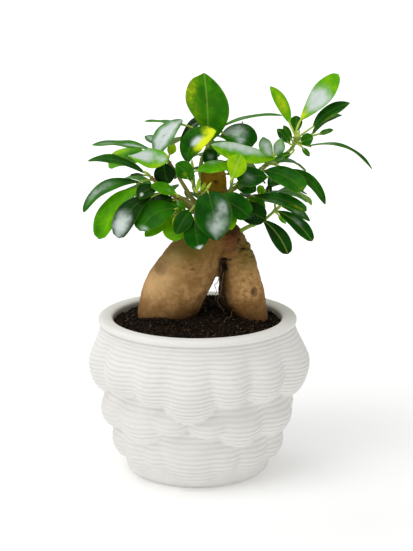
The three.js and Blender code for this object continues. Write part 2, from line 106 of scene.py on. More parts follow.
# %% Mesh helpers
def object_from(name, points, faces, materials, face_materials=None):
    """An object of points in millimetres. Each face may name its material by number."""
    mesh = bpy.data.meshes.new(name)
    mesh.from_pydata((np.asarray(points, float) * MM).tolist(), [], faces)
    for material in materials:
        mesh.materials.append(material)
    if face_materials is not None:
        mesh.polygons.foreach_set("material_index", face_materials)
    mesh.polygons.foreach_set("use_smooth", [True] * len(mesh.polygons))
    mesh.update()
    piece = bpy.data.objects.new(name, mesh)
    bpy.context.scene.collection.objects.link(piece)
    return piece


def point_values(piece, name, values):
    """One number on each point, which a material can read by its name."""
    attribute = piece.data.attributes.new(name, "FLOAT", "POINT")
    attribute.data.foreach_set("value", np.asarray(values, np.float32))


def apply_modifiers(piece):
    """Turns what the modifiers make into the object's own plain mesh."""
    graph = bpy.context.evaluated_depsgraph_get()
    made = bpy.data.meshes.new_from_object(piece.evaluated_get(graph))
    piece.modifiers.clear()
    piece.data = made
    return piece


def triangles(piece):
    """How many triangles the faces of a piece come to."""
    return sum(len(face.vertices) - 2 for face in piece.data.polygons)


print("helpers are ready")

# %% [markdown]
# ## Where the camera stands
# The photograph looks slightly down on the plant from far away, so upright edges stay
# nearly upright. A long lens from more than a metre gives the same look. Only the tilt and
# the distance matter, and both were found from how round the pot's rim looks.

# %% Camera
camera_place = Vector((6, -1161.4, 415.8)) * MM
camera_tilt = 13.7  # degrees below level
lens = bpy.data.cameras.new("camera")
lens.lens = 118
lens.sensor_width = 36
lens.clip_end = 50
camera = bpy.data.objects.new("camera", lens)
camera.location = camera_place
camera.rotation_euler = (math.radians(90 - camera_tilt), 0, 0)
bpy.context.scene.collection.objects.link(camera)
bpy.context.scene.camera = camera
print("camera distance in mm:", round(camera_place.length / MM))

# %% [markdown]
# ## Pale floor and soft studio light
# The pot stands on a white ground that runs on so far that its edge never shows. It glows
# more and more away from the pot, as a lit table does, so that it stays white where the
# lamps don't reach. A large soft box at the upper left is the main light: it gives the pot
# its bright side and its soft shadow. A second one behind the left side lights the rim, a
# third one overhead fills the crown, and a white sky lifts what is left in the shade.

# %% Floor
FLOOR_RADII, FLOOR_SIDES = (400, 1200, 4000, 24000), 96
around = np.linspace(0, 2 * math.pi, FLOOR_SIDES, endpoint=False)
floor_points = [(0, 0, 0)]
floor_points += [(r * math.cos(a), r * math.sin(a), 0) for r in FLOOR_RADII for a in around]
floor_faces = [(0, 1 + i, 1 + (i + 1) % FLOOR_SIDES) for i in range(FLOOR_SIDES)]
for row in range(len(FLOOR_RADII) - 1):
    for i in range(FLOOR_SIDES):
        a, b = 1 + row * FLOOR_SIDES + i, 1 + row * FLOOR_SIDES + (i + 1) % FLOOR_SIDES
        floor_faces.append((a, a + FLOOR_SIDES, b + FLOOR_SIDES, b))

GLOW_START, GLOW_END = 150, 1200  # mm from the pot's middle
GLOW_NEAR, GLOW_FAR = 0.175, 0.62  # how strongly the table glows there
paper, tree, place = new_material("White light table")
away = add(tree, "ShaderNodeVectorMath", {"operation": "LENGTH"}, {0: place})
glow = add(
    tree, "ShaderNodeMapRange", None,
    {0: away, 1: GLOW_START * MM, 2: GLOW_END * MM, 3: GLOW_NEAR, 4: GLOW_FAR},
)
white = linear(0xFFFFFF)
close_material(
    tree,
    {
        "Base Color": linear(0xF7F7F6), "Roughness": 0.9,
        "Emission Color": white, "Emission Strength": glow,
    },
)
floor = object_from("floor", floor_points, floor_faces, [paper])
print("floor faces:", len(floor_faces))

# %% Light
# For each lamp, its place and what it faces, the length of its sides, and its power in watts
SOFT_BOXES = {
    "key": ((-900, -700, 1250), (0, 0, 130), 1100, 6.2),
    "rear": ((-700, 900, 1250), (0, 0, 130), 900, 3),
    "top": ((-150, -250, 1500), (0, 0, 150), 900, 5.6),
}
SKY_STRENGTH = 0.52
for name, (place, target, side, power) in SOFT_BOXES.items():
    lamp = bpy.data.lights.new(name, "AREA")
    lamp.shape = "RECTANGLE"
    lamp.size = lamp.size_y = side * MM
    lamp.energy = power
    box = bpy.data.objects.new(name, lamp)
    box.location = Vector(place) * MM
    aim = Vector(target) * MM - box.location
    box.rotation_euler = aim.to_track_quat("-Z", "Y").to_euler()
    bpy.context.scene.collection.objects.link(box)
sky = bpy.data.worlds.new("white sky")
sky.use_nodes = True
sky_light = sky.node_tree.nodes["Background"].inputs
sky_light["Color"].default_value = white
sky_light["Strength"].default_value = SKY_STRENGTH
bpy.context.scene.world = sky
bpy.context.scene.view_settings.view_transform = "Standard"
print("lamps:", list(SOFT_BOXES))

# %% [markdown]
# ## What the pot is made of
# The pot is cast stoneware with a thin matt white glaze. Such a glaze is a little warm,
# has almost no mirror-like gloss, and lies a little thicker in some places than in others,
# which only shows as faint broad clouds of white. A fine bump breaks the light as the
# slightly chalky skin does.

# %% Blobs and coats
SMOOTH = {"interpolation_type": "SMOOTHSTEP"}  # for a Map Range that sets in and ends softly


def blobs(tree, place, size, detail=3.0, roughness=0.6, stretch=(1, 1, 1)):
    """A cloudy pattern from 0 to 1 whose blobs are about size millimetres across."""
    scale = [share / (size * MM) for share in stretch]
    spread = add(tree, "ShaderNodeMapping", None, {"Vector": place, "Scale": scale})
    pattern = {"Vector": spread, "Scale": 1.0, "Detail": detail, "Roughness": roughness}
    return add(tree, "ShaderNodeTexNoise", None, pattern)


def coated(tree, colour, coats):
    """A colour under coats of other colours. Each coat has a share, or a value with the two
    limits between which it sets in, and how much of the coat shows at either limit."""
    for share, code in coats:
        if isinstance(share, tuple):
            limits = dict(enumerate(share))
            share = add(tree, "ShaderNodeMapRange", SMOOTH, limits)
        layers = {0: share, 6: colour, 7: linear(code)}
        colour = add(tree, "ShaderNodeMix", {"data_type": "RGBA"}, layers)
    return colour


print("blobs and coats are ready")

# %% Matt white glaze
GLAZE_CLOUD = 28  # mm across, of the broad clouds in the glaze
GLAZE_GRAIN = 0.9  # mm across, coarser than the real grain so that it still shows
glaze, tree, place = new_material("Matt white stoneware glaze")
cloud = blobs(tree, place, GLAZE_CLOUD, roughness=0.5)
grain = blobs(tree, place, GLAZE_GRAIN, detail=2.0, roughness=0.5)
tint = coated(tree, linear(0xE9E7E2), [(cloud, 0xF1EFEB)])
sheen = add(tree, "ShaderNodeMapRange", None, {0: cloud, "To Min": 0.55, "To Max": 0.7})
close_material(
    tree, {"Base Color": tint, "Roughness": sheen, "IOR": 1.5, "Specular IOR Level": 0.35},
    relief=(0.25, 0.05, grain),
)
print("material:", glaze.name)

# %% [markdown]
# ## The pot's wall
# The wall swells into soft lobes that hang over each other in three tiers, like folds of
# cloth, and level ribs run round all of them. Turning a profile can't give the lobes, so
# the wall is a grid of rows and columns whose radius comes from a formula: a plain turned
# wall, plus what the fullest tier adds at this spot. The ribs come afterwards.

# %% Pot sizes
POT_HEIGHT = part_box("pot")[1].z / MM
RIM_RADIUS, RIM_HALF = 66, 4.9  # mm: the outer edge of the rim, and half its width
RIM_LEVEL, RIM_RISE = 103.6, 2.5  # mm: the height of its middle, and half its own height
RIM_SQUARE = 0.75  # below 1, the rim's section is squarer than an ellipse
RIM_TURNS = np.linspace(-28, 205, 25)  # degrees round that section, from outside over the top
FOOT_RADIUS = 46.5
POT_FLOOR = 6
INNER_WALL = [(56.1, 94), (53.5, 75), (48, 40)]  # radius and height
RIB_HEIGHTS = [0, 40, 70, 98]  # the ribs are finer towards the rim:
RIB_PITCHES = [3.3, 3.2, 2.8, 2.45]  # mm from groove to groove at these heights
RIB_DEPTH = 0.88
RIB_START = 3.4
RIB_END = 101
RIB_SAG = 0.32  # how far a rib hangs down for each millimetre that it stands out
SAG_FADE = 12  # mm above the first rib, where the ribs hang down in full
PLAIN_FOOT = 14  # mm: below this height only the lobes are ribbed
FULLY_RIBBED = 0.6  # mm that a lobe has to stand out there to be ribbed in full
ROWS_PER_RIB = 5
COLUMNS = 400
WALL_HEIGHTS = [0, 3, 10, 20, 30, 45, 60, 76, 90, 98]
WALL_RADII = [46.5, 47.6, 49.2, 51.6, 55, 58, 60.6, 62.6, 63.4, 64.2]
print("pot height in mm:", round(POT_HEIGHT, 1))

# %% Lobes in three tiers
# Each tier goes round the pot. A lobe has its azimuth from the front towards +X and half
# its width in degrees, the height of its fullest part, how far it stands out, and the
# height of its lower and upper edges in millimetres.
TIERS = [
    [
        (-50, 14.5, 76, 10, 62, 102), (-27, 12, 75, 9.5, 60, 102), (-5, 15.5, 72, 10.5, 49, 102),
        (19, 12, 75, 10, 60, 102), (43, 14, 76, 10.5, 59, 102), (80, 23, 80, 12.5, 54, 104),
        (116, 14, 75, 11.5, 60, 102), (142, 15, 74, 11, 52, 102), (168, 14, 76, 10.5, 61, 102),
        (-163, 15, 75, 11, 55, 102), (-134, 15, 75, 11, 60, 102), (-107, 14, 76, 10.5, 54, 102),
        (-79, 15.5, 79, 10.5, 57, 104),
    ],
    [
        (-78, 19, 45, 7.5, 33, 62), (-41, 16, 45, 8, 31, 62), (-17, 10, 49, 7, 40, 60),
        (7, 11, 48, 7, 39, 58), (29.5, 14.5, 45, 8, 31, 62), (66, 21, 45, 8, 31, 62),
        (98, 13, 46, 7, 36, 60), (122, 14, 45, 7.5, 31, 62), (148, 14, 44, 7, 34, 60),
        (173, 13, 46, 7, 36, 62), (-161, 14, 45, 7.5, 31, 62), (-134, 15, 44, 7, 34, 62),
        (-108, 13, 46, 7, 36, 60),
    ],
    [
        (-49, 12, 21, 5.5, 9, 40), (-31, 9, 22, 5, 12, 38), (-4, 20, 22, 6.5, 2.5, 44),
        (20, 10.5, 22, 5.5, 10, 40), (43, 13.5, 21, 5.5, 9, 38), (76, 19, 21, 6, 11, 38),
        (108, 14, 21, 5.5, 8, 38), (133, 13, 22, 5.5, 11, 38), (158, 14, 21, 5.5, 8, 38),
        (-177, 12, 22, 5, 10, 38), (-153, 13, 21, 5.5, 9, 38), (-128, 13, 22, 5, 11, 38),
        (-103, 14, 21, 5.5, 8, 38), (-76, 15, 22, 5.5, 12, 38),
    ],
]
LOBE_REACH = 1.26  # how far a lobe runs on past its nominal half width
LOBE_BLEND = 2.8  # how sharply neighbouring lobes part: higher is a narrower valley


def lobe_swell(azimuth, height):
    """How far the wall stands out, for arrays of azimuths in degrees and heights in mm."""
    swell = np.zeros(np.broadcast(azimuth, height).shape)
    for lobes in TIERS:
        total = 0
        for centre, half, full, depth, low, high in lobes:
            turn = (azimuth - centre + 540) % 360 - 180
            across = np.clip(1 - (turn / (half * LOBE_REACH)) ** 2, 0, None)
            under = np.sqrt(np.clip(across - ((full - height) / (full - low)) ** 2, 0, None))
            fade = np.clip((height - full) / (high - full), 0, 1)
            above = (0.5 + 0.5 * np.cos(np.pi * fade)) * np.sqrt(across)
            dome = depth * np.sqrt(across) * np.where(height > full, above, under)
            total = total + dome**LOBE_BLEND
        swell = np.maximum(swell, total ** (1 / LOBE_BLEND))
    return swell


print("lobes:", sum(len(lobes) for lobes in TIERS), "fullest in mm:", round(float(lobe_swell(90, 77)), 1))


# %% [markdown]
# ## A turned grid with a swelling wall
# The foot, the rolled rim and the inside of the pot are plain turned rings. Rows of the
# wall lie five to a rib, so that each groove is a sharp line and each rib a round bead.


# %% Pot body
def tube_faces(rows, columns):
    """The faces between rings of points, and the two fans that close the first and last ring on
    one point each. The two points come after all rings."""
    faces = []
    for row in range(rows - 1):
        for column in range(columns):
            near, after = row * columns + column, row * columns + (column + 1) % columns
            faces.append((near, after, after + columns, near + columns))
    last, pole = (rows - 1) * columns, rows * columns
    for column in range(columns):
        after = (column + 1) % columns
        faces += [(pole, after, column), (pole + 1, last + column, last + after)]
    return faces


def ring_grid(rings, columns):
    """Points and faces of rings stacked along Z, each a row of radii and a row of heights.
    The first and last ring close on the axis."""
    around = np.linspace(0, 2 * math.pi, columns, endpoint=False)
    points = []
    for radius, height in rings:
        x = np.sin(around) * radius
        y = -np.cos(around) * radius
        points.append(np.stack([x, y, np.broadcast_to(height, x.shape)], 1))
    points.append([(0, 0, np.mean(rings[0][1])), (0, 0, np.mean(rings[-1][1]))])
    return np.concatenate(points), tube_faces(len(rings), columns)


azimuths = np.linspace(0, 360, COLUMNS, endpoint=False)
foot = [(-7, 0), (-3.4, 0), (-1.2, 1.1), (0.3, 3)]
rings = [(FOOT_RADIUS + out, height) for out, height in foot]
first = len(rings) * COLUMNS
grooves = [RIB_START]
while grooves[-1] < RIB_END:
    grooves.append(grooves[-1] + np.interp(grooves[-1], RIB_HEIGHTS, RIB_PITCHES))
rib_numbers = np.arange((len(grooves) - 1) * ROWS_PER_RIB + 1) / ROWS_PER_RIB
heights = np.interp(rib_numbers, np.arange(len(grooves)), grooves)
wall = np.array([lobe_swell(azimuths, height) for height in heights])
for height, swell in zip(heights, wall):
    sag = RIB_SAG * swell * min(1, (height - RIB_START) / SAG_FADE)
    rings.append((np.interp(height, WALL_HEIGHTS, WALL_RADII) + swell, height - sag))
for turn in RIM_TURNS:
    roll = math.radians(turn)
    out = math.copysign(abs(math.cos(roll)) ** RIM_SQUARE, math.cos(roll))
    rise = math.copysign(abs(math.sin(roll)) ** RIM_SQUARE, math.sin(roll))
    rings.append((RIM_RADIUS - RIM_HALF + RIM_HALF * out, RIM_LEVEL + RIM_RISE * rise))
rings += [*INNER_WALL, (41.5, POT_FLOOR + 0.5), (39, POT_FLOOR)]
grid, faces = ring_grid(rings, COLUMNS)
pot = object_from("ribbed_pot", grid, faces, [glaze])
ribbed = np.clip(wall / FULLY_RIBBED, 0, 1)
ribbed[heights > PLAIN_FOOT] = 1
for name, rows in (("ribbed", ribbed), ("rib_number", np.repeat(rib_numbers[:, None], COLUMNS, 1))):
    values = np.zeros(len(grid))
    values[first : first + wall.size] = rows.ravel()
    point_values(pot, name, values)
print("pot:", triangles(pot), "triangles")

# %% [markdown]
# ## Level ribs with Geometry Nodes
# Every point of the wall knows how many ribs lie below it. A whole number is a groove, and
# a half is the crest of a rib, so one rule makes them all: a sine raised to a small power
# turns the count into a full round bead with a narrow groove, and the point moves inwards.


# %% Rib rule
def new_node_rule(name, sizes):
    """An empty Geometry Nodes tree with a geometry socket and one input for each size."""
    rule = bpy.data.node_groups.new(name, "GeometryNodeTree")
    face = rule.interface
    face.new_socket("Geometry", in_out="INPUT", socket_type="NodeSocketGeometry")
    face.new_socket("Geometry", in_out="OUTPUT", socket_type="NodeSocketGeometry")
    for label, (kind, value) in sizes.items():
        socket = face.new_socket(label, in_out="INPUT", socket_type=kind)
        if value is not None:
            socket.default_value = value
    return rule


def use_rule(piece, rule, values):
    """Puts the rule on a piece as a modifier, with its inputs set by identifier."""
    modifier = piece.modifiers.new(rule.name, "NODES")
    modifier.node_group = rule
    for item in rule.interface.items_tree:
        if item.item_type == "SOCKET" and item.in_out == "INPUT" and item.name in values:
            modifier[item.identifier] = values[item.name]
    return apply_modifiers(piece)


def close_rule(rule, geometry, finish):
    """Ends a rule: instances become real faces, and all faces get the finish."""
    real = add(rule, "GeometryNodeRealizeInstances", None, {"Geometry": geometry})
    dressed = add(rule, "GeometryNodeSetMaterial", None, {"Geometry": real, "Material": finish})
    add(rule, "NodeGroupOutput", None, {0: dressed})


def worked_out(tree, value, *steps):
    """Sends a value through a row of operations, each with the other values that it needs."""
    for operation, *others in steps:
        values = dict(enumerate([value, *others]))
        value = add(tree, "ShaderNodeMath", {"operation": operation}, values)
    return value


FLOAT = "NodeSocketFloat"
print("a rule starts and ends with these")

# %% Ribs on the pot
rule = new_node_rule(
    "Level ribs",
    {"Depth": (FLOAT, 0.001), "Roundness": (FLOAT, 0.5), "Finish": ("NodeSocketMaterial", None)},
)
given = add(rule, "NodeGroupInput").outputs
number, mask = (
    add(rule, "GeometryNodeInputNamedAttribute", {"data_type": "FLOAT"}, {"Name": name})
    for name in ("rib_number", "ribbed")
)
inwards = worked_out(
    rule, number,
    ("MULTIPLY", math.pi), ("SINE",), ("ABSOLUTE",), ("POWER", given["Roundness"]),
    ("SUBTRACT", 1.0), ("MULTIPLY", given["Depth"]), ("MULTIPLY", mask),
)
where = add(rule, "GeometryNodeInputPosition")
split = add(rule, "ShaderNodeSeparateXYZ", None, {0: where}).outputs
level = add(rule, "ShaderNodeCombineXYZ", None, {0: split[0], 1: split[1]})
outward = add(rule, "ShaderNodeVectorMath", {"operation": "NORMALIZE"}, {0: level})
shift = add(rule, "ShaderNodeVectorMath", {"operation": "SCALE"}, {0: outward, 3: inwards})
moved = add(rule, "GeometryNodeSetPosition", None, {"Geometry": given[0], "Offset": shift})
close_rule(rule, moved, given["Finish"])
use_rule(pot, rule, {"Depth": RIB_DEPTH * MM, "Roundness": 0.5, "Finish": glaze})
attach(pot, "root")
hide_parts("pot")
print("ribbed pot:", triangles(pot), "triangles")

# %% [markdown]
# ## Smooth lines through a few points
# Roots, stems and stalks all follow a line through a handful of points. A centripetal
# Catmull-Rom curve passes through every point without loops or overshoot. The solid model
# used it too, so that the dressed stems follow the lines of the solid ones.


# %% Line through points
def line_point(row, share):
    """The point at a share from 0 to 1 along a row of points, which may carry a radius."""
    row = np.asarray(row, float)
    place = share * (len(row) - 1)
    start = min(int(place), len(row) - 2)
    weight = place - start
    one, two = row[start], row[start + 1]
    zero = row[start - 1] if start > 0 else 2 * row[0] - row[1]
    three = row[start + 2] if start + 2 < len(row) else 2 * row[-1] - row[-2]
    gaps = [np.linalg.norm(b[:3] - a[:3]) ** 0.5 for a, b in ((zero, one), (one, two), (two, three))]
    before, here, after = gaps
    leave = (one - zero) / before - (two - zero) / (before + here) + (two - one) / here
    arrive = (two - one) / here - (three - one) / (here + after) + (three - two) / after
    leave, arrive = leave * here, arrive * here
    bend = -3 * one + 3 * two - 2 * leave - arrive
    ease = 2 * one - 2 * two + leave + arrive
    return one + weight * (leave + weight * (bend + weight * ease))


def unit(vector):
    """The same direction with length 1."""
    return vector / max(np.linalg.norm(vector), 1e-9)


def frames_along(points):
    """Ahead, side and up directions at each point of a line, without a sudden twist."""
    ahead = np.gradient(points, axis=0)
    frames = []
    side = np.array([1.0, 0, 0])
    if abs(unit(ahead[0])[0]) > 0.9:
        side = np.array([0, 1.0, 0])
    for step in ahead:
        step = unit(step)
        side = unit(side - step * side.dot(step))
        frames.append((step, side, np.cross(step, side)))
    return frames


def round_bar(points, radii, sides):
    """Points and faces of a closed round bar along a line, with its ends domed."""
    points, radii = np.asarray(points, float), np.asarray(radii, float)
    frames = frames_along(points)
    around = np.linspace(0, 2 * math.pi, sides, endpoint=False)
    rings = []
    for centre, radius, (_, side, up) in zip(points, radii, frames):
        rings.append(centre + radius * (np.outer(np.cos(around), side) + np.outer(np.sin(around), up)))
    tips = [points[0] - frames[0][0] * radii[0] * 0.6, points[-1] + frames[-1][0] * radii[-1] * 0.6]
    return np.concatenate([*rings, tips]), tube_faces(len(rings), sides)


print("halfway along a step:", line_point([(0, 0, 0), (1, 0, 1)], 0.5).round(2))

# %% [markdown]
# ## What the bark is made of
# The roots of a ginseng fig have a thin corky skin: warm tan, olive where a little algae
# grows near the top, darker and redder near the soil, with fine pits and short level
# wrinkles. Three noises of different sizes give the patches, the mottling and the pits,
# and the height above the soil moves the colour from the soil's brown to the olive. Stains
# of moss, rust red, scars and some dirt come on top, with a painted highlight where the
# lamp falls on the left root and painted shade in the notches and round the arch, all as
# values on the skin's own points.

# %% Bark
SOIL_LEVEL = 101  # mm
PATCH, MOTTLE, PIT = 17, 3.2, 0.9  # mm across
# Colours of the stains, of the painted highlight on the lit left root, and of the painted shade, with some
# dirt, in the notches and round the arch
STAIN_AND_PAINTED_LIGHT_COLOURS = {
    "painted_highlight": 0xE6BC84, "mossy": 0x66601C, "ruddy": 0x6B3A22, "scar": 0x5A4428, "dirt_and_painted_shade": 0x160D06,
}


def own_values(tree, names):
    """The values that a piece carries on its points, read by their names."""
    return [add(tree, "ShaderNodeAttribute", {"attribute_name": name}).outputs["Fac"] for name in names]


bark, tree, place = new_material("Corky fig bark")
height = add(tree, "ShaderNodeSeparateXYZ", None, {0: place}).outputs[2]
mottle = blobs(tree, place, MOTTLE, 4.0)
pits = blobs(tree, place, PIT, 2.0, stretch=(1, 1, 1.8))
coats = [
    ((blobs(tree, place, PATCH), 0.35, 0.65), 0x98703E),
    ((height, 124 * MM, 160 * MM, 0, 0.8), 0x6B551C),
    ((height, (SOIL_LEVEL + 1) * MM, (SOIL_LEVEL + 26) * MM, 0.85, 0), 0x6E4A24),
    ((mottle, 0.42, 0.68, 0, 0.68), 0x84592F),
    ((pits, 0.57, 0.68, 0, 0.65), 0x4F3419),
]
# the stains, the painted highlight and the painted shade
coats += zip(own_values(tree, STAIN_AND_PAINTED_LIGHT_COLOURS), STAIN_AND_PAINTED_LIGHT_COLOURS.values())
aged = coated(tree, linear(0xD2A66C), coats)
rough = worked_out(tree, mottle, ("MULTIPLY_ADD", 0.6, pits))
close_material(
    tree, {"Base Color": aged, "Roughness": 0.78, "Specular IOR Level": 0.1},
    relief=(0.8, 0.35, rough),
)
print("material:", bark.name)

# %% [markdown]
# ## Sawn wood
# The cut across the neck has dried to a golden brown. Year rings are only just visible,
# the pith in the middle is dark, and the saw left the face a little rough. Rings are a wave
# in the distance from the pith, so the pattern is centred there with a Mapping node.

# %% Sawn face
NECK_X = 10.5
STUMP_HEIGHT = 197
STUMP_TILT = 43  # degrees that the cut leans back
PITH = Vector((NECK_X + 1.5, -1, STUMP_HEIGHT - 1))
YEAR_RING = 1.5  # mm
sawn, tree, place = new_material("Dried sawn fig wood")
centred = add(tree, "ShaderNodeMapping", None, {"Vector": place, "Location": -PITH * MM})
distance = add(tree, "ShaderNodeVectorMath", {"operation": "LENGTH"}, {0: centred})
ripple = blobs(tree, place, 3.5)
year_rings = worked_out(
    tree, ripple,
    ("MULTIPLY_ADD", 4.5 * MM, distance), ("MULTIPLY", 2 * math.pi / (YEAR_RING * MM)), ("SINE",),
)
coats = [
    ((year_rings, -1, 1, 0, 0.3), 0x6E4A08),
    ((ripple, 0.45, 0.65, 0, 0.6), 0x5C4A14),
    ((blobs(tree, place, 1.1), 0.55, 0.7, 0, 0.5), 0xB08C34),
    ((distance, 0.6 * MM, 2.2 * MM, 0.85, 0), 0x2E1B08),
    ((distance, 7.5 * MM, 10 * MM, 0, 0.6), 0x6A5516),
]
gold = coated(tree, linear(0x967214), coats)
close_material(
    tree, {"Base Color": gold, "Roughness": 0.8, "Specular IOR Level": 0.1},
    relief=(0.5, 0.2, ripple),
)
print("material:", sawn.name)

# %% [markdown]
# ## The two roots and the neck
# One body grew out of several fat parts. It is made the same way: round bars and balls
# are laid into each other, a voxel remesh turns them into one skin, and smoothing rounds
# the joints as bark does. The saw cut comes after that, so that its edge stays sharp.

# %% Trunk form
# Each root and the neck: x, y, z and radius at points from below to above
LEFT_ROOT = [
    (-23, 1, 80, 8), (-22, 0, 94, 14.5), (-21.5, -1, 106, 18.4), (-17, -1, 118, 20.4),
    (-9.5, -1, 133, 20), (-1, -1, 147, 17.5), (6, 0, 160, 13.5), (9.5, 0, 172, 11),
]
RIGHT_ROOT = [
    (42, -2, 78, 4.5), (39.5, -2, 92, 7.5), (36.5, -2, 105, 11), (30.8, -2, 118, 14.5),
    (28, -2, 131, 13.6), (26.5, -1, 143, 11.8), (22.5, 0, 154, 10.5), (16, 0, 164, 9.5),
]
NECK = [(7.5, 0, 164, 12), (NECK_X, 0, 178, 9.6), (NECK_X, 0, 194, 8.7), (NECK_X, 0, 216, 8.4)]
# Swellings: x, y, z, radius, stretch in height
KNOBS = [
    (17, -1, 150, 12.5, 1.15), (19.5, -9.5, 149, 6, 1.3), (26, -7, 161, 4.5, 1.2),
    (15, -11, 158, 5, 1.4), (22, -10, 155, 3.6, 1.0), (1, -11.5, 163, 6, 1.2),
    (21, -13, 158, 4, 1.5), (23, -14, 152.5, 3.6, 1.1), (18.5, -15, 150, 3, 0.8),
    (15.3, -2, 137, 4.2, 1.2), (22, -4, 122, 8, 1.6),
]
VOXEL = 0.75  # mm


def bar_through(row, sides, steps):
    """A round bar along a smooth line, as thick at each point as the row says."""
    along = np.array([line_point(row, share) for share in np.linspace(0, 1, steps)])
    return round_bar(along[:, :3], along[:, 3], sides)


def ball(x, y, z, radius, stretch):
    """A ball round a place, stretched in height."""
    rings = [
        (radius * math.sin(turn), -radius * math.cos(turn) * stretch)
        for turn in np.linspace(0.15, math.pi - 0.15, 16)
    ]
    grid, faces = ring_grid(rings, 24)
    return grid + (x, y, z), faces


def joined(parts):
    """Several sets of points and faces as one."""
    points, faces, start = [], [], 0
    for grid, part_faces in parts:
        points.append(grid)
        faces += [tuple(i + start for i in face) for face in part_faces]
        start += len(grid)
    return np.concatenate(points), faces


parts = [bar_through(LEFT_ROOT, 48, 60), bar_through(RIGHT_ROOT, 40, 60), bar_through(NECK, 36, 30)]
parts += [ball(*knob) for knob in KNOBS]
points, faces = joined(parts)
trunk = object_from("roots_and_neck", points, faces, [bark, sawn])
skin = trunk.modifiers.new("one skin", "REMESH")
skin.mode = "VOXEL"
skin.voxel_size = VOXEL * MM
soften = trunk.modifiers.new("rounded joints", "SMOOTH")
soften.iterations = 14
soften.factor = 0.6
apply_modifiers(trunk)
print("trunk skin:", triangles(trunk), "triangles")

# %% [markdown]
# ## Lumps, wrinkles and scars
# Where a side root was cut off, an oval scar is left with a raised lip. The skin between
# is never quite even: it has broad lumps and short level wrinkles, with deeper folds where
# the two roots meet. Each point is moved along its normal by the sum of these.

# %% Trunk relief
# Lumps and wrinkles: width, height, and how far they stand out, in millimetres
UNEVEN = [(13, 17, 0.9), (5, 6, 0.35), (6, 1.3, 0.22)]
CROTCH_LEVEL, CROTCH_REACH = 156, 18  # mm: where the two roots meet, and how far that shows
CROTCH_FOLDS = 1.5  # mm that the folded skin there stands out
# Scars: x, y and z of the middle, half width and half height in millimetres, strength
SCARS = [
    (-24.2, -11.8, 141, 4.2, 4.8, 0.8), (-2.8, -19.4, 141.6, 1.6, 0.9, 0.9),
    (36.9, -13.6, 125.1, 2.3, 2.8, 1.5), (-12, -20, 126, 1.6, 1.2, 0.3),
    (-30, 12, 122, 4.0, 5.0, 0.5), (-2, 18, 134, 3.0, 2.4, 0.6),
    (33, 12, 132, 2.8, 3.4, 0.6), (40, 8, 112, 2.0, 2.4, 0.5),
]
# Notches under the knobs, darkened with painted shade: x, y and z, half width and half height, depth
NOTCHES = [
    (17, -13.5, 146, 3.2, 1.8, 2.8), (17.4, -11, 141, 2.4, 4.5, 2.0), (21, -13, 146.5, 2.0, 0.9, 1.2),
    (30, -8, 153, 2.4, 0.6, 0.5), (35, -5, 147, 1.4, 0.5, 0.4), (27, -12, 158, 1.2, 2.6, 1.0),
]


def trunk_relief(point):
    """How far the skin stands out at a point in millimetres, how scarred it is, and how much painted shade
    darkens its notches.
    """
    x, y, z = point
    relief = sum(noise.noise((x / wide, y / wide, z / high)) * rise for wide, high, rise in UNEVEN)
    crotch = max(0, 1 - abs(z - CROTCH_LEVEL) / CROTCH_REACH) * min(1, max(0, x - 8) / 8)
    relief += crotch * noise.noise((x / 3, y / 3, z / 2)) * CROTCH_FOLDS
    depth, mark, dirt_and_painted_shade = 0, 0, 0
    for centre_x, centre_y, centre_z, half_x, half_z, strength in SCARS:
        across = math.hypot(x - centre_x, (y - centre_y) * 0.4)
        away = math.hypot(across / half_x, (z - centre_z) / half_z)
        if away < 2:
            lip = math.exp(-(((away - 1) / 0.22) ** 2))
            depth += strength * (0.5 * lip - 0.5 * max(0, 1 - away))
            ring = 0.45 * math.exp(-(((away - 0.95) / 0.16) ** 2))
            mark = max(mark, strength * max(0.6 * max(0, 1 - away**4), ring))
    for centre_x, centre_y, centre_z, half_x, half_z, strength in NOTCHES:
        across = math.hypot(x - centre_x, (y - centre_y) * 0.5)
        away = math.hypot(across / half_x, (z - centre_z) / half_z)
        depth -= strength * math.exp(-(away**2))
        # painted shade darkens each notch
        dirt_and_painted_shade = max(dirt_and_painted_shade, min(1, 1.5 * math.exp(-(away**2))))
    return relief + depth, mark, dirt_and_painted_shade


mesh = trunk.data
places = np.empty(len(mesh.vertices) * 3, np.float32)
normals = np.empty_like(places)
mesh.vertices.foreach_get("co", places)
mesh.vertices.foreach_get("normal", normals)
place, normal = places.reshape(-1, 3) / MM, normals.reshape(-1, 3)
reliefs = np.array([trunk_relief(point) for point in place])
mesh.vertices.foreach_set("co", places + (normal * reliefs[:, :1] * MM).ravel())
print("relief in mm:", round(float(np.ptp(reliefs[:, 0])), 1))

# %% [markdown]
# Stains, the painted highlight and the painted shade are numbers on the points, which the
# bark's material reads by their names. Each is a few soft spots, but the side of the right
# root that faces the arch is darkened with painted shade all over, which follows the edge
# of the arch.

# %% Stains on the bark
# Each spot: its middle, its reach in the three directions, and its strength
STAINS_AND_PAINTED_LIGHT = {
    # painted highlight: the lamp's light on the left root, painted into its colour
    "painted_highlight": [
        ((-22, -14, 134), (11, 14, 13), 0.6), ((-15, -18, 150), (7, 8, 4), 0.5),
        ((-32, -11, 128), (6, 12, 9), 0.5),
    ],
    "mossy": [((32, -8, 149), (7, 10, 9), 0.6), ((-8, -16, 153), (13, 10, 6), 0.62)],
    "ruddy": [((22, -13, 160), (7, 9, 11), 0.85)],
}
# Dark spots: painted shade at the top of the arch and under the crotch, and one low on the left root's front
# near the soil
SHADE_AND_DIRT_SPOTS = [
    ((17.5, -6, 141), (4, 9, 7), 0.85), ((25, -8, 167), (5, 9, 6), 0.6),
    ((-5, -14, 109), (15, 14, 7), 0.35),
]
ARCH_HEIGHTS = [92, 105, 118, 131, 143]
ARCH_EDGE = [32, 25.5, 16.5, 14.4, 14.7]  # x of the right root's inner side at these heights
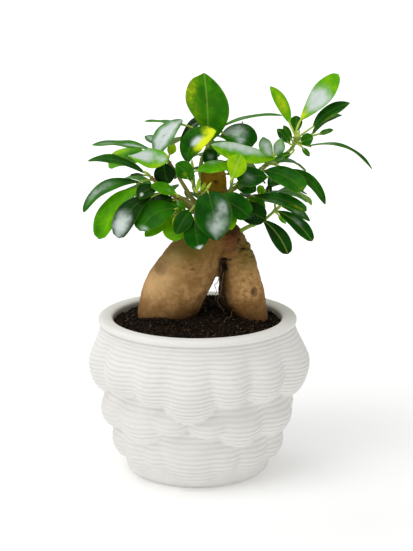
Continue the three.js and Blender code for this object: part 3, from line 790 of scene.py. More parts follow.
# how strong the painted shade on that side is, and up to which height it reaches
ARCH_SIDE_SHADE, ARCH_SIDE_SHADE_TOP = 0.92, 150  # how strong the dirt is on that side, and up to which height
ARCH_SIDE_SHADE_FADE = 5.5  # mm over which it fades out away from the arch


def spots(place, rows):
    """How strong each spot is at each place: it fades out at about twice its reach."""
    return [much * np.exp(-(((place - centre) / reach) ** 2).sum(1)) for centre, reach, much in rows]


x, height = place[:, 0], place[:, 2]
# painted shade on the side of the right root that faces the arch
arch_side_shade = np.clip(1.5 - (x - np.interp(height, ARCH_HEIGHTS, ARCH_EDGE)) / ARCH_SIDE_SHADE_FADE, 0, 1)
arch_side_shade *= np.clip((x - 12.5) / 2, 0, 1) * np.clip((ARCH_SIDE_SHADE_TOP - height) / 5, 0, 1) * ARCH_SIDE_SHADE
point_values(trunk, "scar", reliefs[:, 1])
point_values(trunk, "dirt_and_painted_shade", np.maximum.reduce([reliefs[:, 2], arch_side_shade, *spots(place, SHADE_AND_DIRT_SPOTS)]))
for name, rows in STAINS_AND_PAINTED_LIGHT.items():
    point_values(trunk, name, sum(spots(place, rows)))
print("stains:", list(STAINS_AND_PAINTED_LIGHT))

# %% [markdown]
# The saw cut is a plane that leans back. Everything above it goes, and the open edge that
# is left is filled with flat faces, which get the finish of sawn wood.

# %% Saw cut
shape = bmesh.new()
shape.from_mesh(mesh)
tilt = math.radians(STUMP_TILT)
cut_normal = Vector((0, -math.cos(tilt), math.sin(tilt)))
cut = bmesh.ops.bisect_plane(
    shape, geom=shape.verts[:] + shape.edges[:] + shape.faces[:],
    plane_co=Vector((NECK_X, 0, STUMP_HEIGHT)) * MM, plane_no=cut_normal, clear_outer=True,
)
rim = [e for e in cut["geom_cut"] if isinstance(e, bmesh.types.BMEdge)]
lid = bmesh.ops.triangle_fill(shape, edges=rim, use_beauty=True)
for face in lid["geom"]:
    if isinstance(face, bmesh.types.BMFace):
        face.material_index = 1
        face.smooth = False
bmesh.ops.recalc_face_normals(shape, faces=shape.faces[:])
shape.to_mesh(mesh)
shape.free()
for face in mesh.polygons:
    face.use_smooth = face.material_index == 0
print("trunk:", triangles(trunk), "triangles")

# %% [markdown]
# Hair roots hang in the arch and lie on the soil. They are thin bars through a few points,
# made more crooked by a seeded draw, and they become part of the same mesh. Their skin is
# dry and thin, pale where the soil has come off and brown where it hasn't.

# %% Hair roots
HAIR_ROOTS = [
    [(16, -10, 142), (14.5, -10, 134), (15.5, -11, 126), (14, -10, 118), (17.5, -10, 110)],
    [(17, -12, 138), (17.5, -13, 130), (15.5, -12, 125), (17, -13, 120)],
    [(14.5, -8, 133), (12.8, -9, 128), (14.3, -9, 123), (12.8, -9, 119), (15, -9, 113)],
    [(16.5, -20.5, 105.5), (19, -18, 108), (21.5, -17, 108.5), (24, -15, 113)],
    [(12, -24, 105), (17, -25, 106.5), (21, -22, 106), (25, -22, 107)],
    [(24, -17, 160), (27, -17.5, 157), (29, -16, 160), (28, -13, 164)],
    [(22, -17, 156), (25, -18, 153), (28, -16, 155), (30, -12, 160)],
    [(-30, -26, 104), (-24, -28, 105.5), (-19, -27, 104.5)],
]
HAIR_RADIUS = 0.28  # mm, and half of that at the tip
CROOKED = 0.28  # mm that each of its steps strays
hair, tree, place = new_material("Dry pale hair root")
hair_colour = coated(tree, linear(0x33261A), [(blobs(tree, place, 3), 0x957D5C)])
close_material(tree, {"Base Color": hair_colour, "Roughness": 0.8, "Specular IOR Level": 0.1})
dice = np.random.default_rng(5)
bars = []
for row in HAIR_ROOTS:
    line = np.array([line_point(row, share) for share in np.linspace(0, 1, 26)])
    crooked = np.cumsum(dice.normal(0, CROOKED, line.shape), axis=0)
    line += crooked - np.linspace(0, 1, len(line))[:, None] * crooked[-1]
    bars.append(round_bar(line, np.linspace(HAIR_RADIUS, HAIR_RADIUS * 0.5, len(line)), 5))
points, faces = joined(bars)
hairs = object_from("hair_roots", points, faces, [bark, sawn, hair], [2] * len(faces))
mesh.materials.append(hair)
shape = bmesh.new()
shape.from_mesh(mesh)
shape.from_mesh(hairs.data)
shape.to_mesh(mesh)
shape.free()
bpy.data.objects.remove(hairs)
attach(trunk, "root")
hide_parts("trunk")
print("trunk:", triangles(trunk), "triangles")

# %% [markdown]
# ## Potting soil
# The pot is filled with a dark peat mix. Its top is a mound of crumbs of every size, with
# some bark fibre among them. The mound is a turned grid with a noisy height, and crumbs
# are scattered over it by a rule.

# %% Soil finish
peat, tree, place = new_material("Dark crumbly peat soil")
crumbs = blobs(tree, place, 1.6, 4.0)
coats = [
    ((crumbs, 0.35, 0.7), 0x261C12),
    ((blobs(tree, place, 2.6, 2.0), 0.55, 0.7, 0, 0.75), 0x4A2E18),
    ((blobs(tree, place, 1.3, 1.0), 0.68, 0.72, 0, 0.8), 0x8A7A5C),
]
brown = coated(tree, linear(0x0E0A07), coats)
close_material(
    tree, {"Base Color": brown, "Roughness": 0.9, "Specular IOR Level": 0.1},
    relief=(1.0, 0.6, crumbs),
)
print("material:", peat.name)

# %% Soil mound
SOIL_RADII = [0, 14, 28, 40, 50, 54.8]
SOIL_TOPS = [108, 107.8, 107, 104.6, 101.8, 100.5]
SOIL_SIDE = [(20, POT_FLOOR + 0.3), (41, POT_FLOOR + 0.3), (47.7, 40), (53.3, 76)]
# Heaps on the mound: x, y, height and reach in millimetres
SOIL_HEAPS = [
    (12, 30, 4.5, 17), (-30, -22, 2.6, 12), (-46, 8, 1.5, 9), (38, -22, 1.2, 9), (-20, 26, 2, 14),
]
# Clods: their size in millimetres, which layer of the noise they use, and how high they are
CLODS = [(7, 0, 1.1), (2.1, 5, 0.9)]
LOOSE_ABOVE = 90  # mm: the faces above this height are the soil's open top
SOIL_COLUMNS, SOIL_RINGS = 170, 56
radii = np.linspace(55.4, 1.2, SOIL_RINGS)
rings = SOIL_SIDE + [(radius, np.interp(radius, SOIL_RADII, SOIL_TOPS)) for radius in radii]
points, faces = ring_grid(rings, SOIL_COLUMNS)
loose = points[:, 2] > LOOSE_ABOVE
clods = [
    sum(noise.noise((x / size, y / size, layer)) * rise for size, layer, rise in CLODS)
    for x, y in points[loose][:, :2]
]
points[loose, 2] += np.clip(clods, -1.4, 1.2)
for heap_x, heap_y, rise, reach in SOIL_HEAPS:
    away = np.hypot(points[:, 0] - heap_x, points[:, 1] - heap_y) / reach
    points[loose, 2] += rise * np.exp(-(away[loose] ** 2))
soil = object_from("potting_soil", points, faces, [peat])
point_values(soil, "top", loose.astype(float))
print("soil mound:", triangles(soil), "triangles")

# %% [markdown]
# Crumbs are scattered as points on the top faces, an uneven ball is set on each, turned
# and stretched at random, and a noise then dents all of them. The seed is fixed, so the
# soil is the same each time.

# %% Crumb rule
DENT = 1.2 * MM  # how far apart the dents lie, and twice the depth that they can have
rule = new_node_rule(
    "Soil crumbs",
    {
        "Density": (FLOAT, 100000.0),
        "Smallest": (FLOAT, 0.0005),
        "Largest": (FLOAT, 0.0015),
        "Seed": ("NodeSocketInt", 3),
        "Finish": ("NodeSocketMaterial", None),
    },
)
given = add(rule, "NodeGroupInput").outputs
top = add(rule, "GeometryNodeInputNamedAttribute", {"data_type": "FLOAT"}, {"Name": "top"})
on_top = add(rule, "FunctionNodeCompare", {"operation": "GREATER_THAN"}, {0: top, 1: 0.9})
scattered = add(
    rule, "GeometryNodeDistributePointsOnFaces", {"distribute_method": "RANDOM"},
    {"Mesh": given[0], "Selection": on_top, "Density": given["Density"], "Seed": given["Seed"]},
)
crumb = add(rule, "GeometryNodeMeshIcoSphere", None, {"Radius": 1.0, "Subdivisions": 1})
spin, size, stretch = (
    add(rule, "FunctionNodeRandomValue", {"data_type": kind}, {**limits, "Seed": given["Seed"]})
    for kind, limits in (
        ("FLOAT_VECTOR", {0: (0, 0, 0), 1: (6.28, 6.28, 6.28)}),
        ("FLOAT", {2: given["Smallest"], 3: given["Largest"]}),
        ("FLOAT_VECTOR", {0: (0.5, 0.6, 0.4), 1: (1.5, 1.1, 0.9)}),
    )
)
grow = add(rule, "ShaderNodeVectorMath", {"operation": "SCALE"}, {0: stretch, 3: size})
placed = add(
    rule, "GeometryNodeInstanceOnPoints", None,
    {"Points": scattered, "Instance": crumb, "Rotation": spin, "Scale": grow},
)
real = add(rule, "GeometryNodeRealizeInstances", None, {"Geometry": placed})
dent = add(rule, "ShaderNodeTexNoise", None, {"Scale": 1 / DENT, "Detail": 1.0}).outputs["Color"]
centred = add(rule, "ShaderNodeVectorMath", {"operation": "SUBTRACT"}, {0: dent, 1: (0.5, 0.5, 0.5)})
shove = add(rule, "ShaderNodeVectorMath", {"operation": "SCALE"}, {0: centred, 3: DENT})
dented = add(rule, "GeometryNodeSetPosition", None, {"Geometry": real, "Offset": shove})
together = add(rule, "GeometryNodeJoinGeometry", None, {0: dented})
rule.links.new(given[0], together.inputs[0])
close_rule(rule, together, given["Finish"])
use_rule(
    soil, rule,
    {"Density": 200000.0, "Smallest": 0.5 * MM, "Largest": 1.9 * MM, "Seed": 3, "Finish": peat},
)
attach(soil, "root")
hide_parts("soil")
print("soil:", triangles(soil), "triangles")

# %% [markdown]
# ## What a fig leaf is made of
# A fig leaf is leathery, with a waxy skin and a soft gloss. The pale sheen where it mirrors
# the light is painted into its colour as soft patches. Young leaves are yellow-green and old
# ones nearly black-green, so each leaf carries its own tone. Every point of a blade also
# knows how far it lies from the midrib and along it, in millimetres, and the material draws
# the veins from those numbers.

# %% Leaf patterns
VEIN_SPACING = 2.6  # mm between side veins
VEIN_SLANT = 0.75  # how far a side vein runs forward for each millimetre outwards
TONES = [(0.0, 0x0A2A04), (0.25, 0x0F4C03), (0.5, 0x2E7402), (0.75, 0x5CA804), (1.0, 0x9CC80C)]


def leaf_green(tree, tone):
    """The green of a tone, from nearly black at 0 to yellow-green at 1."""
    ramp = add(tree, "ShaderNodeValToRGB", None, {0: tone})
    stops = ramp.color_ramp.elements
    stops[0].position, stops[0].color = TONES[0][0], linear(TONES[0][1])
    stops[1].position, stops[1].color = TONES[-1][0], linear(TONES[-1][1])
    for position, code in TONES[1:-1]:
        stops.new(position).color = linear(code)
    return ramp


def ragged_patch(tree, strength, grain):
    """A coat's value and limits for a patch whose soft edge is made steeper and ragged."""
    uneven = worked_out(tree, grain, ("MULTIPLY_ADD", 0.5, -0.25))
    inside = add(tree, "ShaderNodeMapRange", SMOOTH, {0: strength, 1: 0.05, 2: 0.4})
    return worked_out(tree, uneven, ("MULTIPLY_ADD", inside, strength)), 0.12, 0.8


def vein_lines(tree, rib, run):
    """1 on the midrib, and 1 on the side veins."""
    rib = worked_out(tree, rib, ("ABSOLUTE",))
    midrib = add(tree, "ShaderNodeMapRange", SMOOTH, {0: rib, 1: 0.2, 2: 0.75, 3: 1.0, 4: 0.0})
    wave = worked_out(
        tree, rib,
        ("MULTIPLY_ADD", -VEIN_SLANT, run), ("MULTIPLY", math.pi / VEIN_SPACING), ("SINE",), ("ABSOLUTE",),
    )
    side = add(tree, "ShaderNodeMapRange", SMOOTH, {0: wave, 1: 0.0, 2: 0.35, 3: 1.0, 4: 0.0})
    return midrib, side


print("leaf greens:", len(TONES))

# %% Upper side of a leaf
upper, tree, place = new_material("Waxy upper side of a fig leaf")
tone, rib, run, span, blush, bloom, specks, veins = own_values(
    tree, ("tone", "rib", "run", "span", "blush", "bloom", "specks", "veins")
)
midrib, side_veins = vein_lines(tree, rib, run)
cloudy = blobs(tree, place, 9, 2.0)
fine = blobs(tree, place, 0.8, 2.0)
drift = add(tree, "ShaderNodeMapRange", SMOOTH, {0: cloudy, 1: 0.3, 2: 0.7, 3: -0.08, 4: 0.08})
brown_dots = add(tree, "ShaderNodeMapRange", SMOOTH, {0: fine, 1: 0.57, 2: 0.63})
gloss = add(tree, "ShaderNodeMapRange", SMOOTH, {0: cloudy, 1: 0.3, 2: 0.7, 3: 0.24, 4: 0.36})
coats = [
    (worked_out(tree, side_veins, ("MULTIPLY", 0.05)), 0x7FA82C),
    (worked_out(tree, midrib, ("MULTIPLY", veins)), 0xB4CC5A),
    ((span, 0.9, 1.0, 0.0, 0.14), 0x9FC23C),
    (ragged_patch(tree, blush, blobs(tree, place, 2.4, 3.0)), 0xDCEB20),
    # painted sheen: pale patches of reflected light, painted into the colour
    (ragged_patch(tree, bloom, blobs(tree, place, 5, 1.2)), 0xCBD7D0),
    (worked_out(tree, brown_dots, ("MULTIPLY", specks)), 0x4A3A1E),
]
green = coated(tree, leaf_green(tree, worked_out(tree, tone, ("ADD", drift))), coats)
pores = worked_out(tree, fine, ("MULTIPLY", 0.2))
close_material(
    tree, {"Base Color": green, "Roughness": gloss, "IOR": 1.48, "Specular IOR Level": 0.05},
    relief=(0.5, 0.18, worked_out(tree, side_veins, ("MULTIPLY_ADD", -0.5, pores))),
)
print("material:", upper.name)

# %% [markdown]
# The underside is paler and duller, has a weaker painted sheen and shows its side veins in
# relief. Leaf stalks are smooth and yellow-green. Stems are brown with corky dots, and green
# when young.

# %% Underside, stalk and stem
under, tree = new_material("Matt underside of a fig leaf")[:2]
tone, rib, run, blush, bloom = own_values(tree, ("tone", "rib", "run", "blush", "bloom"))
midrib, side_veins = vein_lines(tree, rib, run)
coats = [
    (0.4, 0x8DB23C),
    (worked_out(tree, side_veins, ("MULTIPLY", 0.12)), 0xA4C266),
    (worked_out(tree, midrib, ("MULTIPLY", 0.35)), 0xB8CC70),
    (blush, 0xD3DA3A),
    # a weaker painted sheen of reflected light
    (worked_out(tree, bloom, ("MULTIPLY", 0.6)), 0xCDD8C2),
]
green = coated(tree, leaf_green(tree, tone), coats)
close_material(
    tree, {"Base Color": green, "Roughness": 0.6, "Specular IOR Level": 0.15},
    relief=(0.35, 0.2, side_veins),
)

stalk, tree, place = new_material("Smooth green leaf stalk")
(tone,) = own_values(tree, ("tone",))
coats = [
    ((blobs(tree, place, 3), 0.35, 0.65), 0xC3D24A),
    (worked_out(tree, 0.75, ("SUBTRACT", tone)), 0x5C8A28),
]
green = coated(tree, linear(0x9DBA2E), coats)
close_material(tree, {"Base Color": green, "Roughness": 0.42})

twig, tree, place = new_material("Young fig bark")
(tone,) = own_values(tree, ("tone",))
dots = blobs(tree, place, 0.9, 1.0)
coats = [
    ((blobs(tree, place, 2.2), 0.35, 0.65), 0x8A6A38),
    (tone, 0x7DA032),
    ((dots, 0.62, 0.7, 0.0, 0.5), 0xC2A878),
]
brown = coated(tree, linear(0x6B4A26), coats)
close_material(tree, {"Base Color": brown, "Roughness": 0.7}, relief=(0.6, 0.2, dots))
print("materials:", under.name, stalk.name, twig.name)

# %% [markdown]
# ## One leaf
# A blade follows a curved midrib and is widest a little past its middle. Across, it is
# folded a little along the midrib, rolls down towards its edges and ripples slightly. It
# has two faces half a millimetre apart and a closed edge, so that light can't leak round
# it, and its stalk is a thin bar that bends from the stem into the midrib.

# %% Blade outline and patches
BLADE_ROWS = 24
BLADE_SHARES = np.array([-1, -0.93, -0.7, -0.42, -0.16, 0, 0.16, 0.42, 0.7, 0.93, 1])
BLADE_THICKNESS = 0.5
FOLD = 0.14  # how far a blade rises for each millimetre away from the midrib
# Limits of what is drawn for each blade: how high its ripples are in millimetres and how many
# there are, how far its edges roll down as a share of half its width, its twist in degrees
RIPPLE, RIPPLES, ROLL, TWIST = (0.2, 0.55), (1.2, 2.4), (0.02, 0.1), (-9, 9)
GROOVE, GROOVE_HALF = 0.3, 0.9  # mm: the midrib's groove in the upper face
KEEL, KEEL_HALF = 0.35, 0.8  # mm: the midrib's keel under the blade
NARROWEST = 0.35  # mm: half the width that a blade keeps at its ends
UPPER, UNDER, STALK, TWIG = 0, 1, 2, 3
EMPTY = {"rib": 0, "run": 0, "span": 0, "tone": 0.5, "blush": 0, "bloom": 0, "specks": 0, "veins": 0}


def blade_half_width(along, look, side):
    """Half width as a share of the widest, for the left (-1) or right (1) half of a leaf."""
    fullest = look["full"] + side * look["lean"]
    power = np.where(along < fullest, look["root"], look["sharp"] + side * look["skew"])
    return np.sin(np.pi * along ** (math.log(0.5) / math.log(fullest))).clip(1e-4, 1) ** power


def patch_value(patches, kind, along, share):
    """How strong the patches of one kind are at a place on the blade."""
    value = 0.0
    for patch_kind, middle, across, length, width, strength in patches:
        if patch_kind == kind:
            away = ((along - middle) / length) ** 2 + ((share - across) / width) ** 2
            value = max(value, strength * math.exp(-away))
    return value


print("a blade has", BLADE_ROWS, "rows of", len(BLADE_SHARES), "points on each side")


# %% Blade faces
def blade_faces():
    """The faces of every blade, all turned outwards, and which finish each of them has."""
    columns = len(BLADE_SHARES)
    under_start = BLADE_ROWS * columns
    faces, finishes = [], []
    for row in range(BLADE_ROWS - 1):
        for i in range(columns - 1):
            a = row * columns + i
            quad = (a + columns, a + 1 + columns, a + 1, a)
            faces += [quad, tuple(under_start + k for k in reversed(quad))]
            finishes += [UPPER, UNDER]
        for i, flip in ((0, True), (columns - 1, False)):
            a = row * columns + i
            edge = (a, a + columns, under_start + a + columns, under_start + a)
            faces.append(tuple(reversed(edge)) if flip else edge)
            finishes.append(UPPER)
    for row, flip in ((0, False), (BLADE_ROWS - 1, True)):
        for i in range(columns - 1):
            a = row * columns + i
            edge = (a, a + 1, under_start + a + 1, under_start + a)
            faces.append(tuple(reversed(edge)) if flip else edge)
            finishes.append(UPPER)
    return faces, finishes


BLADE_FACES, BLADE_FINISHES = blade_faces()
print("faces to a blade:", len(BLADE_FACES))


# %% Blade shape
def blade(base, tip, width, face, bow, look, dice):
    """Points, faces, finishes and point values of one blade."""
    base, tip, face, bow = (np.asarray(v, float) for v in (base, tip, face, bow))
    crown = (base + tip) / 2 + 2 * bow
    length = np.linalg.norm(tip - base)
    ripple = dice.uniform(*RIPPLE) * min(1, width / 14)
    ripples, phase = dice.uniform(*RIPPLES), dice.uniform(0, 6.3)
    roll, twist = dice.uniform(*ROLL), dice.uniform(*TWIST)
    tops, bottoms = [], []
    values = {name: [] for name in EMPTY}
    for along in np.linspace(0, 1, BLADE_ROWS) ** 0.9:
        centre = (1 - along) ** 2 * base + 2 * along * (1 - along) * crown + along**2 * tip
        ahead = unit(2 * (1 - along) * (crown - base) + 2 * along * (tip - crown))
        across = unit(np.cross(face, ahead))
        normal = np.cross(ahead, across)
        turn = math.radians(twist) * (along - 0.5)
        across, normal = (
            across * math.cos(turn) + normal * math.sin(turn),
            normal * math.cos(turn) - across * math.sin(turn),
        )
        for share in BLADE_SHARES:
            reach = max(width / 2 * blade_half_width(along, look, np.sign(share)), NARROWEST)
            out = abs(share) * reach
            rise = FOLD * out - roll * share * share * reach
            rise += ripple * share * share * math.sin(2 * math.pi * ripples * along + phase + 1.7 * share)
            rise -= GROOVE * math.exp(-((out / GROOVE_HALF) ** 2)) * min(1, reach / 3)
            point = centre + across * share * reach + normal * rise
            thick = BLADE_THICKNESS * (0.25 if abs(share) == 1 else 0.5)
            keel = KEEL * math.exp(-((out / KEEL_HALF) ** 2)) * (1 - along)
            tops.append(point + normal * thick)
            bottoms.append(point - normal * (thick + keel))
            here = {
                kind: patch_value(look["patches"], kind, along, share)
                for kind in ("shade", "blush", "bloom", "specks")
            }
            here.update(rib=share * reach, run=along * length, span=abs(share), veins=look["veins"])
            here["tone"] = look["tone"] - here.pop("shade")
            for name, value in here.items():
                values[name].append(value)
    doubled = {name: np.array(row * 2) for name, row in values.items()}
    return np.array(tops + bottoms), BLADE_FACES, BLADE_FINISHES, doubled


print("points to a blade:", 2 * BLADE_ROWS * len(BLADE_SHARES))

# %% [markdown]
# ## How leaves differ
# Every leaf has a look: how bright its green is, how its outline runs, how much its midrib
# shows, and any patches. A patch is a soft spot on the blade, given by how far along it
# lies, how far across, its length and width and its strength. It can be yellow blush, a
# painted sheen of pale reflected light, shade or brown specks.

# %% Looks
# How far along a leaf is fullest and how much later on its right half, how pointed its tip
# is and how much more on its right half, how pointed its base is, and how pale its midrib
PLAIN = {"full": 0.54, "lean": 0, "sharp": 0.66, "skew": 0, "root": 0.62, "veins": 0.06, "patches": ()}
LOOKS = {
    "dark": {"tone": 0.06},
    "deep": {"tone": 0.2},
    "mid": {"tone": 0.36},
    "green": {"tone": 0.52},
    "fresh": {"tone": 0.76},
    "lime": {"tone": 0.92, "patches": (("blush", 0.5, 0, 0.6, 1.2, 0.25),)},
    # pale: a leaf with a painted sheen of reflected light over most of it
    "pale": {"tone": 0.64, "patches": (("bloom", 0.5, 0, 0.6, 1.0, 0.62),)},
}
BLUNT = {"sharp": 0.36, "full": 0.6}
print("looks:", list(LOOKS))


# %% Stalk, bud and stem
BUD_LENGTH, BUD_TONE = 6.5, 0.8
STEM_THINNER = 0.8  # the share of the solid stem's thickness that the dressed one has
SWOLLEN = 0.35  # mm that a stem is thicker where a leaf joins it


def grown(shape, grid, faces, finishes, values):
    """Adds points and faces to a shoot that is being built."""
    start = sum(len(part) for part in shape["points"])
    shape["points"].append(grid)
    shape["faces"] += [tuple(i + start for i in face) for face in faces]
    shape["finishes"] += finishes
    for name in EMPTY:
        given = values.get(name, EMPTY[name])
        shape["values"][name].append(np.broadcast_to(given, len(grid)))


def grown_bar(shape, line, radii, sides, finish, tone):
    """Adds a round bar of one finish and one tone to a shoot."""
    grid, faces = round_bar(line, radii, sides)
    grown(shape, grid, faces, [finish] * len(faces), {"tone": tone})


def add_stalk(shape, start, base, tip, tone):
    """A thin round stalk that bends from the stem into the blade's midrib."""
    start, base, tip = (np.asarray(v, float) for v in (start, base, tip))
    lead = base - unit(tip - base) * np.linalg.norm(base - start) * 0.35
    row = [start, start + (lead - start) * 0.6, base, base + unit(tip - base) * 2.5]
    shares = np.linspace(0, 1, 9)
    radii = np.interp(shares, [0, 0.15, 0.8, 1], [0.95, 0.72, 0.6, 0.3])
    grown_bar(shape, [line_point(row, share) for share in shares], radii, 8, STALK, tone)


def add_bud(shape, place, heading):
    """The pointed bud that closes a shoot's tip."""
    shares = np.linspace(0, 1, 8)
    line = [np.asarray(place) + heading * BUD_LENGTH * s for s in shares]
    radii = np.sin(np.pi * (0.25 + 0.75 * shares)) ** 0.8 + 0.05
    grown_bar(shape, line, radii, 8, STALK, BUD_TONE)


def add_stem(shape, row, joints, tone):
    """A woody stem, which swells where each leaf joins it."""
    shares = np.linspace(0, 1, 12 * (len(row) - 1))
    along = np.array([line_point(row, share) for share in shares])
    radii = along[:, 3] * STEM_THINNER
    for joint in joints:
        radii += SWOLLEN * np.exp(-(((shares - joint) * 60) ** 2))
    grown_bar(shape, along[:, :3], radii, 12, TWIG, tone)


print("stalks, buds and stems are ready")

# %% [markdown]
# ## A whole shoot
# A shoot is given by its stem, a row of places with the stem's radius there, and by its
# leaves. Where a leaf has no blush or painted sheen of its own, a seeded draw gives it faint ones.

# %% Shoot builder
TONE_DRIFT = 0.04
# Faint patches: their kind and the limits of their strength, then their length and width
FAINT = (("blush", 0.12, 0.36), ("shade", 0.05, 0.16), ("bloom", 0.12, 0.4))
FAINT_SIZE = (0.28, 0.45)


def leaf_look(look_name, extras, dice):
    """The look of one leaf: its named look, what the leaf adds to it, and what the dice add."""
    look = {**PLAIN, **LOOKS[look_name]}
    look["tone"] += dice.uniform(-TONE_DRIFT, TONE_DRIFT)
    painted = any(isinstance(extra, tuple) and extra[0] in ("blush", "bloom") for extra in extras)
    for kind, low, high in FAINT:
        middle, across = dice.uniform(0.2, 0.9), dice.uniform(-0.8, 0.8)
        strength = dice.uniform(low, high)
        if not painted:
            look["patches"] += ((kind, middle, across, *FAINT_SIZE, strength),)
    for extra in extras:
        if isinstance(extra, dict):
            look.update(extra)
        else:
            look["patches"] += (extra,)
    return look


def grow_shoot(name, seed, stem_tone, stem, leaves):
    """One leafy shoot: stem, stalks, blades and a bud, as one piece in place of the solid one."""
    dice = np.random.default_rng(seed)
    shape = {"points": [], "faces": [], "finishes": [], "values": {key: [] for key in EMPTY}}
    add_stem(shape, stem, [leaf[0] for leaf in leaves], stem_tone)
    heading = unit(np.array(stem[-1][:3]) - np.array(stem[-2][:3]))
    add_bud(shape, stem[-1][:3], heading)
    for at, base, tip, width, face, bow, look_name, *extras in leaves:
        look = leaf_look(look_name, extras, dice)
        add_stalk(shape, line_point(stem, at)[:3], base, tip, max(look["tone"], 0.4))
        grown(shape, *blade(base, tip, width, face, bow, look, dice))
    points, finishes = np.concatenate(shape["points"]), [upper, under, stalk, twig]
    shoot = object_from("leafy_" + name, points, shape["faces"], finishes, shape["finishes"])
    for key, parts in shape["values"].items():
        point_values(shoot, key, np.concatenate(parts))
    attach(shoot, "root")
    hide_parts(name)
    print(shoot.name, triangles(shoot), "triangles")


print("ready to grow shoots")

# %% [markdown]
# ## The shoots that the photograph shows
# Each shoot is a stem from its seat in the neck, and its leaves. A leaf is given by its
# place along the stem, the base and tip of its blade, the blade's width, the way its upper
# face looks, how far its middle bows, and its look. All places are in millimetres.

# %% Upright shoot behind the stump
grow_shoot(
    "shoot_top", 0, 0.7,
    [(6, 4, 191, 2), (2, 11, 199, 1.9), (3, 13.5, 208, 1.6), (8, 12, 219, 1.3), (14, 8, 229, 1)],
    [
        (0.7, (6.8, 9, 220), (4.4, 0, 267), 28, (0.1, -1, 0.2), (1, -2, 0), "green",
         ("blush", 0.8, 0.8, 0.26, 0.5, 0.42), ("blush", 0.5, 0.7, 0.4, 0.5, 0.28),
         ("blush", 0.2, 0.4, 0.2, 0.5, 0.2),
         ("specks", 0.6, -0.1, 0.12, 0.4, 1), ("shade", 0.5, -0.6, 0.4, 0.5, 0.05),
         {"full": 0.58, "lean": 0.1, "sharp": 0.6, "skew": -0.2, "root": 0.75, "veins": 0.3}),
        (1, (13, 13, 228.3), (-11, 14, 219.8), 12, (0, -0.35, 1), (0, 0, 9.5), "dark"),
        (1, (15, 11.5, 230), (55.3, 12.5, 237.5), 10, (0.05, 0, 1), (0, 0, 3), "green",
         ("bloom", 0.35, 0, 0.2, 1, 0.3)),
        (0.95, (15, 10.5, 223.8), (36, 4.5, 218.3), 20, (0.1, -0.75, 0.65), (1, 0, 4), "mid",
         ("bloom", 0.38, 0.35, 0.36, 0.7, 0.6), ("bloom", 0.65, -0.3, 0.2, 0.5, 0.48),
         ("shade", 0.85, 0.5, 0.2, 0.6, 0.2), BLUNT),
        (0.8, (-7.5, 11, 231.2), (-34.5, 14, 233.5), 10, (0, 0, 1), (0, 0, 1), "green",
         ("bloom", 0.4, 0, 0.3, 1, 0.3)),
        (0.55, (9, 20, 212), (14, 46, 212), 17, (0.1, 0.1, 1), (0, 0, 5), "mid"),
        (0.8, (-2, 19, 220), (-18, 40, 213), 16, (-0.2, 0.2, 1), (0, 0, 4), "green"),
        (0.9, (20, 14, 222), (36, 30, 214), 16, (0.3, 0.2, 1), (0, 0, 4), "mid"),
        (1, (28.6, 17, 224), (29.6, 17, 233), 1.6, (0, -1, 0), (0, 0, 0), "dark"),
        (0.5, (12, 11, 206), (5, 10, 215), 11, (0, -0.9, 0.4), (0, -1, 0), "deep",
         ("bloom", 0.5, 0, 0.3, 0.6, 0.35)),
    ],
)

# %% Bright shoot round the stump
grow_shoot(
    "shoot_crown", 1, 0.8,
    [(5, -4, 186, 1.8), (-1.5, -11, 192, 1.6), (-2.5, -12, 199, 1.4), (-3, -11, 206, 1.1)],
    [
        (1, (-6, -10, 210), (12.2, -8, 230.5), 18, (-0.4, -0.75, 0.5), (-5.5, 0, 3), "mid",
         ("blush", 0.75, -0.65, 0.4, 0.55, 1), ("blush", 0.95, 0, 0.18, 1, 0.9),
         ("bloom", 0.58, -0.1, 0.17, 0.3, 0.95), ("bloom", 0.15, 0.3, 0.15, 0.5, 0.2),
         ("shade", 0.4, 0.3, 0.25, 0.4, 0.12)),
        (0.8, (-1, -14, 205.5), (21.5, -13, 208), 12, (0, -0.5, 0.85), (0, 0, 1), "fresh"),
        (0.7, (-5, -15, 200), (-14, -18, 210.5), 12, (-0.2, -0.9, 0.4), (1, 0, 1), "green",
         ("shade", 0.6, 0, 0.5, 1, 0.15)),
        (0.8, (-3.5, -17.5, 198.5), (-2.5, -18.5, 208.5), 4, (-0.3, -0.9, 0.2), (-1, 0, 0), "mid"),
        (0.5, (0, -16, 192), (1.5, -17.5, 201.5), 2.6, (0, -1, 0.1), (0, 0, 0), "lime"),
        (0.45, (1.5, -15, 192), (5, -17, 198.5), 2.4, (0.2, -1, 0.1), (0.5, 0, 0), "lime"),
    ],
)

